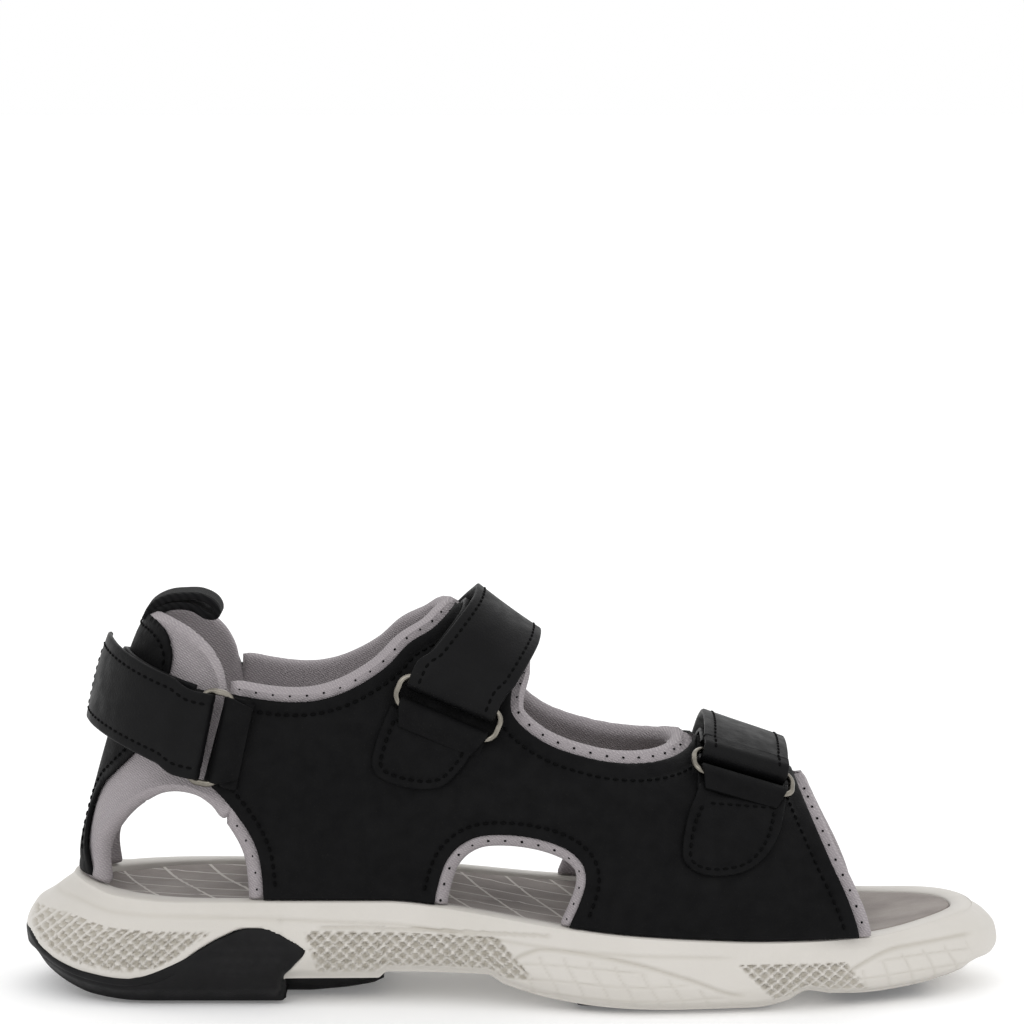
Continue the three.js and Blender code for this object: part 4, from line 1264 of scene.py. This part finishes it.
def build_midsole(context):
    finishes(context)
    pit = in_mm(context.scene.sandal_sizes.lattice_depth)
    stations = np.linspace(0, 1, 660)
    levels = np.concatenate([np.linspace(0, 0.06, 3), np.linspace(0.085, 0.97, 42), [0.985, 1.0]])
    halves, grooves = [], []
    for side in (-1, 1):
        a, share = np.meshgrid(stations, levels, indexing="ij")
        wall = wall_station(a, share, side)
        along = np.gradient(wall, axis=0)
        up = np.gradient(wall, axis=1)
        normal = np.cross(up, along) * side
        size = np.linalg.norm(normal, axis=2, keepdims=True)
        normal = np.where(size > 1e-6, normal / np.maximum(size, 1e-6), 0)
        flip = normal[..., 1] * side < 0
        normal[flip] *= -1
        press = np.where(a < 0.004, 0, foam_relief(wall, pit))
        zone = rubber_zone(wall)
        press = np.where(zone > 0.3, np.clip((zone - 0.3) / 1.0, 0, 1) * 2.4, press)
        ends = np.clip(a / 0.02, 0, 1) * np.clip((1 - a) / 0.02, 0, 1)
        normal = normal * np.array([1, 1, 0.0])
        wall = wall - normal * (press * ends)[..., None]
        deep_first, deep_end = RIM_FIRST - RIM_INSET + CAVITY_INSET, RIM_LAST + RIM_INSET - CAVITY_INSET
        deep_x = deep_first + (deep_end - deep_first) * (1 - np.cos(math.pi * stations)) / 2
        deep_y = side * (side_width(deep_x, side) - CAVITY_INSET) * end_round(deep_x, deep_first, deep_end)
        rim_deep = np.stack([deep_x, deep_y, rim_z(deep_x)], 1)
        rim = [wall[:, -1] * (1 - t) + rim_deep * t + np.array([0, 0, h])
               for t, h in ((0.08, 0.0), (0.5, 0.15), (0.92, 0.0), (1.0, -0.5))]
        floor = np.stack([deep_x, deep_y, footbed_z(deep_x) - FOOTBED_THICKNESS - 2.1], 1)
        wall[:, -1, 2] -= 0.4
        ring = np.concatenate([wall, np.stack(rim, 1), floor[:, None]], axis=1)
        # pit depth at each wall point, kept for the foam material to paint shade into the pits
        mark = np.concatenate([np.clip(press, 0, 1) * (zone <= 0.3),
                               np.zeros((len(stations), 5))], axis=1)
        halves.append(ring)
        grooves.append(mark)
    rows = np.concatenate([halves[0], halves[1][:, ::-1]], axis=1)
    piece = grid_tube("midsole_foam_unit", rows, caps=False, node="midsole", slot="midsole_foam")
    dress(piece, "midsole_foam")
    points = np.array([v.co for v in piece.data.vertices]) / MM
    points[:, 0] -= HEEL_X / MM
    # the groove attribute carries the pit depth to the foam material, which paints shade there
    depth = np.concatenate([grooves[0], grooves[1][:, ::-1]], axis=1).reshape(-1)
    groove = nearest_value(points, rows.reshape(-1, 3), depth)
    piece.data.attributes.new("groove", "FLOAT", "POINT").data.foreach_set("value", groove)


def nearest_value(points, source, values):
    """The value of the nearest source point, for each point."""
    tree = KDTree(len(source))
    for i, p in enumerate(source):
        tree.insert(p, i)
    tree.balance()
    return np.array([values[tree.find(p)[1]] for p in points], np.float32)


def closed_box(low, high, bevel):
    """A block from low to high with its corners cut, as points and faces."""
    work = bmesh.new()
    bmesh.ops.create_cube(work, size=1.0)
    size, centre = (np.array(high) - low), (np.array(high) + low) / 2
    for v in work.verts:
        v.co = Vector(np.array(v.co) * size + centre)
    bmesh.ops.bevel(work, geom=work.edges[:], offset=bevel, segments=2, affect="EDGES", profile=0.5)
    work.verts.index_update()
    verts = [tuple(v.co) for v in work.verts]
    faces = [[v.index for v in f.verts] for f in work.faces]
    work.free()
    return verts, faces


def tread_lugs(name, first, last, reach, low, high, pitch, bow):
    """Curved transverse bars under the sole, cut by grooves."""
    verts, faces = [], []
    for x in np.arange(first + pitch / 2, last - pitch / 2, pitch):
        for y in np.arange(-reach(x) + 4, reach(x) - 3, 8):
            near, far = (x - pitch * 0.34, y - 3.2, low(x)), (x + pitch * 0.34, y + 3.2, high(x))
            box, sides = closed_box(near, far, 0.4)
            faces += [[i + len(verts) for i in f] for f in sides]
            verts += [(px + bow * abs(py) ** 1.5, py, pz) for px, py, pz in box]
    piece = new_piece(name, verts, faces, slot="outsole_rubber")
    dress(piece, "outsole_rubber")
    return piece


def build_rubber(context):
    finishes(context)
    u = np.linspace(0, 1, 230)
    v = np.concatenate([[0, 0.02, 0.05, 0.1], np.linspace(0.14, 1, 46)])
    halves = []
    tip = station_of(RUBBER_TIP, 0.6)
    run_x = np.linspace(0, RUBBER_TIP, 200)
    for side in (-1, 1):
        uu, vv = np.meshgrid(u, v, indexing="ij")
        x_top = np.clip(np.interp(uu * tip, station_of(run_x, 0.5), run_x), 0, RUBBER_TIP)
        top = rubber_top(x_top)
        floor = np.where(x_top > 40, 0.8, bottom_z(x_top))
        z = top * (1 - vv) + floor * vv
        share = (z - bottom_z(x_top)) / (rim_z(x_top) - bottom_z(x_top))
        front = rubber_front(z)
        for _ in range(5):
            a = uu * station_of(front, share)
            x = wall_station(a, share, side)[..., 0]
            share = np.clip((z - bottom_z(x)) / (rim_z(x) - bottom_z(x)), -0.4, 1)
        wall = wall_station(a, share, side)
        halves.append((wall, top - z))
    bottom_count = 34
    rows, half = [], []
    left, right = halves[0][0], halves[1][0]
    share = np.linspace(0, 1, bottom_count + 2)[1:-1, None]
    for i in range(len(u)):
        under = left[i, -1] * (1 - share) + right[i, -1] * share
        rows.append(np.concatenate([left[i], under, right[i, ::-1]]))
        drop = halves[0][1][i]
        ahead = (1 - u[i]) * 78
        side_half = RUBBER_HALF * rounded(np.minimum(drop, ahead) + 0.02, 1.0)
        floor_half = np.full(bottom_count, RUBBER_HALF * rounded(ahead + 0.02, 1.0))
        half.append(np.concatenate([side_half, floor_half, side_half[::-1]]))
    outer = np.array(rows)
    half = np.maximum(np.array(half), 0.12)
    along = np.gradient(outer, axis=0)
    across = np.gradient(outer, axis=1)
    normal = np.cross(across, along)
    size = np.linalg.norm(normal, axis=2, keepdims=True)
    normal = normal / np.maximum(size, 1e-6)
    normal[0] = normal[1]
    heart = np.array([40, 0, 16.0])
    flip = np.sum(normal * (outer - heart), axis=2) < 0
    normal[flip] *= -1
    x, z = outer[..., 0], outer[..., 2]
    off_x = ridged(x / 3.4 + 0.5 * np.round(z / 3)) * 3.4
    off_z = ridged(z / 3) * 3
    dimple = fade(x, 52, 74, 2) * fade(z, 8, 19.5, 1.5) * np.exp(-(off_x ** 2 + off_z ** 2) / 0.8)
    scallop = fade(x, 4, 46, 3) * np.exp(-((z - (rubber_top(x) - 2.6)) / 0.45) ** 2) * 0.35
    skin = outer + normal * (0.25 + 0.4 * dimple - scallop)[..., None]
    middle = skin - normal * RUBBER_HALF
    shell = slab("heel_rubber_cup", middle, normal, half, caps=False, node="heel_outsole",
                 slot="outsole_rubber")
    dress(shell, "outsole_rubber")
    x = np.linspace(68, 99.8, 26)
    top = np.interp(x, [68, 82, 92, 99, 99.8], [6.6, 6.2, 6.9, 6.9, 5.0])
    low = np.interp(x, [68, 80, 90, 97, 99.8], [0.9, 0.9, 1.8, 3, 4.4])
    y = np.array([-20, -19.7, -19, -17, -10, 0, 10, 17, 19, 19.7, 20.0])
    middle = np.array([[(px, py, (t + b) / 2) for py in y] for px, t, b in zip(x, top, low)])
    rise = np.array([[(t - b) / 2 * max(0.2, rounded(20 - abs(py), 1.0)) for py in y]
                     for t, b in zip(top, low)])
    tongue = slab("heel_rubber_tongue", middle, np.tile([0, 0, 1.0], (len(x), len(y), 1)), rise,
                  slot="outsole_rubber")
    dress(tongue, "outsole_rubber")
    tread_lugs("heel_tread_bars", 24, 72, lambda x: float(lateral_width(x)) - 10, lambda x: 0.0,
               lambda x: 2.6, 6.0, 0.012)
    for name, first, last in (("forefoot", 152, 205), ("toe", 222, 250)):
        low = (lambda x: 0.0) if name == "forefoot" else (lambda x: float(bottom_z(x)) - TREAD_STANDOFF)
        pad(f"{name}_tread_plate", f"{name}_tread", first, last, low)
        tread_lugs(f"{name}_tread_bars", first + 1, last - 1,
                   lambda x: float(min(lateral_width(x), medial_width(x)) - 10)
                   * float(end_round(x, 13, 265)), low, lambda x, low=low: low(x) + 1.6, 5.4, 0.010)


def pad(name, node, first, last, low):
    """A rubber pad set into the underside, its top buried in the foam."""
    x = np.linspace(first, last, 60)
    shares = np.array([0, 0.01, 0.03, 0.08, 0.2, 0.35, 0.5, 0.65, 0.8, 0.92, 0.97, 0.99, 1])
    edge = np.minimum(x - first, last - x)
    pinch = 2.5 * (1 - rounded(edge, 2.5))
    y0 = -(lateral_width(x) - 9) * end_round(x, 13, 265) + pinch
    y1 = (medial_width(x) - 9) * end_round(x, 13, 265) - pinch
    y = y0[:, None] + (y1 - y0)[:, None] * shares
    z = np.array([low(v) + 1.5 for v in x])[:, None] + 0 * y
    middle = np.stack([x[:, None] + 0 * y, y, z], -1)
    reach = np.minimum(np.minimum(y - y0[:, None], y1[:, None] - y), edge[:, None])
    half = 0.9 * (0.2 + 0.8 * rounded(reach, 0.6))
    plate = slab(name, middle, np.tile([0, 0, 1.0], (*y.shape, 1)), half, node=node, slot="outsole_rubber")
    dress(plate, "outsole_rubber")


def build_footbed(context):
    finishes(context)
    inset = CAVITY_INSET + GAP
    first, end = RIM_FIRST - RIM_INSET + inset, RIM_LAST + RIM_INSET - inset
    line_height = in_mm(context.scene.sandal_sizes.footbed_line)
    stations = (1 - np.cos(math.pi * np.linspace(0.0, 1, 150))) / 2
    x = first + (end - first) * stations
    shares = np.concatenate([[0, 0.004, 0.012, 0.03], np.linspace(0.06, 0.94, 36), [0.97, 0.988, 0.996, 1]])
    y0 = -(lateral_width(x) - inset) * end_round(x, first, end)
    y1 = (medial_width(x) - inset) * end_round(x, first, end)
    y = y0[:, None] + (y1 - y0)[:, None] * shares
    xx = x[:, None] + 0 * y
    across = np.abs(shares * 2 - 1)
    cup = 1.1 * (across[None, :] ** 3 - 0.55) * fade(xx, 15, 250, 30)
    lines = np.maximum(np.exp(-((ridged((y + 5 * np.sin(xx / 23)) / 11.5)) * 11.5 / 0.35) ** 2),
                       np.exp(-((ridged((xx + 6 * np.sin(y / 17)) / 15)) * 15 / 0.35) ** 2))
    lines = lines * fade(xx, 24, 200, 6) * fade(across[None, :] * np.ones_like(xx), -1, 0.9, 0.05)
    top = footbed_z(xx) + np.minimum(cup, 0.35) + line_height * lines
    low = footbed_z(xx) - FOOTBED_THICKNESS
    to_ends = np.minimum(x - first, end - x)[:, None] + 0.3
    edge = np.minimum(np.minimum(y - y0[:, None], y1[:, None] - y), to_ends)
    top = top - 0.9 * (1 - rounded(edge, 1.2))
    middle = np.stack([xx, y, (top + low) / 2], -1)
    rise = np.maximum((top - low) / 2, 0.3)
    up = np.tile([0, 0, 1.0], (*y.shape, 1))
    bed = slab("footbed_insert", middle, up, rise, caps=False, node="footbed", slot="footbed_cover")
    dress(bed, "footbed_cover")
    dress(bpy.data.objects["insole_board"], "insole_board")


# ---- Stage -----------------------------------------------------------------------
def build_stage(context):
    light = context.scene.sandal_light
    bpy.ops.object.select_all(action="DESELECT")
    bpy.ops.mesh.primitive_plane_add(size=40, location=(0, 0, CAD_BOX[0][2] - 0.0005))
    floor = context.object
    floor.name = "studio_floor"
    surface = Finish("studio_paper", 0.9, specular=0.1)
    surface.colour(surface.ramp(surface.noise(2, 2), [(0.0, (0.92, 0.92, 0.92)), (1.0, (0.94, 0.94, 0.94))]))
    surface.shader.inputs["Emission Color"].default_value = (1, 1, 1, 1)
    surface.shader.inputs["Emission Strength"].default_value = 0.14
    floor.data.materials.append(surface.material)
    world = bpy.data.worlds.new("studio_air")
    world.use_nodes = True
    world.node_tree.nodes["Background"].inputs["Color"].default_value = (1, 1, 1, 1)
    world.node_tree.nodes["Background"].inputs["Strength"].default_value = light.world
    context.scene.world = world
    lamps = [("key_light", (-0.5, -1.4, 1.3), light.key, 1.0),
             ("fill_light", (0.9, -1.2, 0.7), light.fill, 0.9),
             ("back_light", (0.1, 1.2, 1.3), light.back, 1.2)]
    for name, place, power, size in lamps:
        bpy.ops.object.light_add(type="AREA", location=place)
        lamp = context.object
        lamp.name = name
        lamp.data.energy = power
        lamp.data.size = size
        aim = Vector((0, 0, 0.05)) - Vector(place)
        lamp.rotation_euler = aim.to_track_quat("-Z", "Y").to_euler()
    bpy.ops.object.camera_add(location=(0, -1.172, 0.254))
    camera = context.object
    camera.name = "studio_camera"
    aim = Vector((0, 0, 0.131)) - camera.location
    camera.rotation_euler = aim.to_track_quat("-Z", "Y").to_euler()
    camera.data.lens = 150
    camera.data.sensor_width = 36
    context.scene.camera = camera
    context.scene.view_settings.view_transform = "Standard"


# ---- Add-on ------------------------------------------------------------------------
def tone(name, words, *shown):
    """A colour a user picks, given by its display values from 0 to 255."""
    return bpy.props.FloatVectorProperty(name=name, description=words, size=3, subtype="COLOR_GAMMA",
                                         default=[c / 255 for c in shown], min=0, max=1)


def distance(name, words, mm):
    """A small length a user sets, given in millimetres."""
    return bpy.props.FloatProperty(name=name, description=words, default=mm * MM, min=0, unit="LENGTH",
                                   precision=5)


class SandalColours(bpy.types.PropertyGroup):
    foam: tone("Foam", "Midsole foam", 204, 200, 194)
    rubber: tone("Rubber", "Heel rubber and treads", 13, 12, 14)
    upper: tone("Upper", "Quarters and heel counter", 9, 9, 10)
    strap: tone("Strap", "Straps and flaps", 16, 16, 17)
    lining: tone("Lining", "Padded mesh lining", 172, 166, 167)
    footbed: tone("Footbed", "Footbed cover", 152, 144, 138)


class SandalSizes(bpy.types.PropertyGroup):
    stitch_pitch: distance("Stitch pitch", "From one seam stitch to the next", 2.4)
    stitch_length: distance("Stitch length", "Length of a seam stitch", 1.6)
    needle_pitch: distance("Needle pitch", "From one needle mark of the quilted edge to the next", 4.6)
    needle_length: distance("Needle length", "Length of a needle mark", 0.8)
    thread_radius: distance("Thread radius", "Half the width of a stitch", 0.36)
    quarter_swell: distance("Quarter swell", "How far the quarters' padded edges swell out", 1.5)
    heel_swell: distance("Heel swell", "How far the heel lining's padded edge swells out", 1.2)
    lattice_depth: distance("Lattice depth", "Depth of the pits in the foam's walls", 1.0)
    footbed_line: distance("Footbed line", "Height of the raised lines on the footbed", 0.25)


class SandalLight(bpy.types.PropertyGroup):
    world: bpy.props.FloatProperty(
        name="World", description="Strength of the white surroundings", default=1.0, min=0, subtype="FACTOR")
    key: bpy.props.FloatProperty(
        name="Key", description="Power of the key light in watts", default=3.5, min=0, unit="POWER")
    fill: bpy.props.FloatProperty(
        name="Fill", description="Power of the fill light in watts", default=1.2, min=0, unit="POWER")
    back: bpy.props.FloatProperty(
        name="Back", description="Power of the back light in watts", default=3.0, min=0, unit="POWER")


def operator(name, label, words, build):
    """An operator class that runs one build step."""

    def execute(self, context):
        build(context)
        return {"FINISHED"}

    members = {"bl_idname": f"sandal.{name}", "bl_label": label, "__doc__": words, "execute": execute}
    return type(f"SANDAL_OT_{name}", (bpy.types.Operator,), members)


OPERATORS = [
    operator("midsole", "Build midsole", "Moulded foam unit with its latticed walls", build_midsole),
    operator("rubber", "Build rubber", "Heel cup, shank tongue, tread plates and lugs", build_rubber),
    operator("footbed", "Build footbed", "Cupped footbed insert over the insole board", build_footbed),
    operator("quarters", "Build quarters", "Both quarters, their linings and stitching", build_quarters),
    operator("heel", "Build heel", "Heel counter, heel lining and pull tab", build_heel),
    operator("straps", "Build straps", "Three ringed hook-and-loop straps", build_straps),
    operator("stage", "Build stage", "Floor, lights and camera", build_stage),
]


class SANDAL_PT_panel(bpy.types.Panel):
    """Every build step of the sandal"""
    bl_label = "Sport sandal"
    bl_idname = "SANDAL_PT_panel"
    bl_space_type = "VIEW_3D"
    bl_region_type = "UI"
    bl_category = "Sandal"

    def draw(self, context):
        for step in OPERATORS:
            self.layout.operator(step.bl_idname)
        for slot in GROUPS:
            group = getattr(context.scene, slot)
            for key in group.__annotations__:
                self.layout.prop(group, key)


GROUPS = {"sandal_colours": SandalColours, "sandal_sizes": SandalSizes, "sandal_light": SandalLight}
CLASSES = [*GROUPS.values(), *OPERATORS, SANDAL_PT_panel]


def register():
    for cls in CLASSES:
        bpy.utils.register_class(cls)
    for slot, group in GROUPS.items():
        setattr(bpy.types.Scene, slot, bpy.props.PointerProperty(type=group))


def unregister():
    for slot in GROUPS:
        delattr(bpy.types.Scene, slot)
    for cls in reversed(CLASSES):
        bpy.utils.unregister_class(cls)


def main():
    register()
    for step in OPERATORS:
        group, name = step.bl_idname.split(".")
        getattr(getattr(bpy.ops, group), name)()


if __name__ == "__main__":
    main()
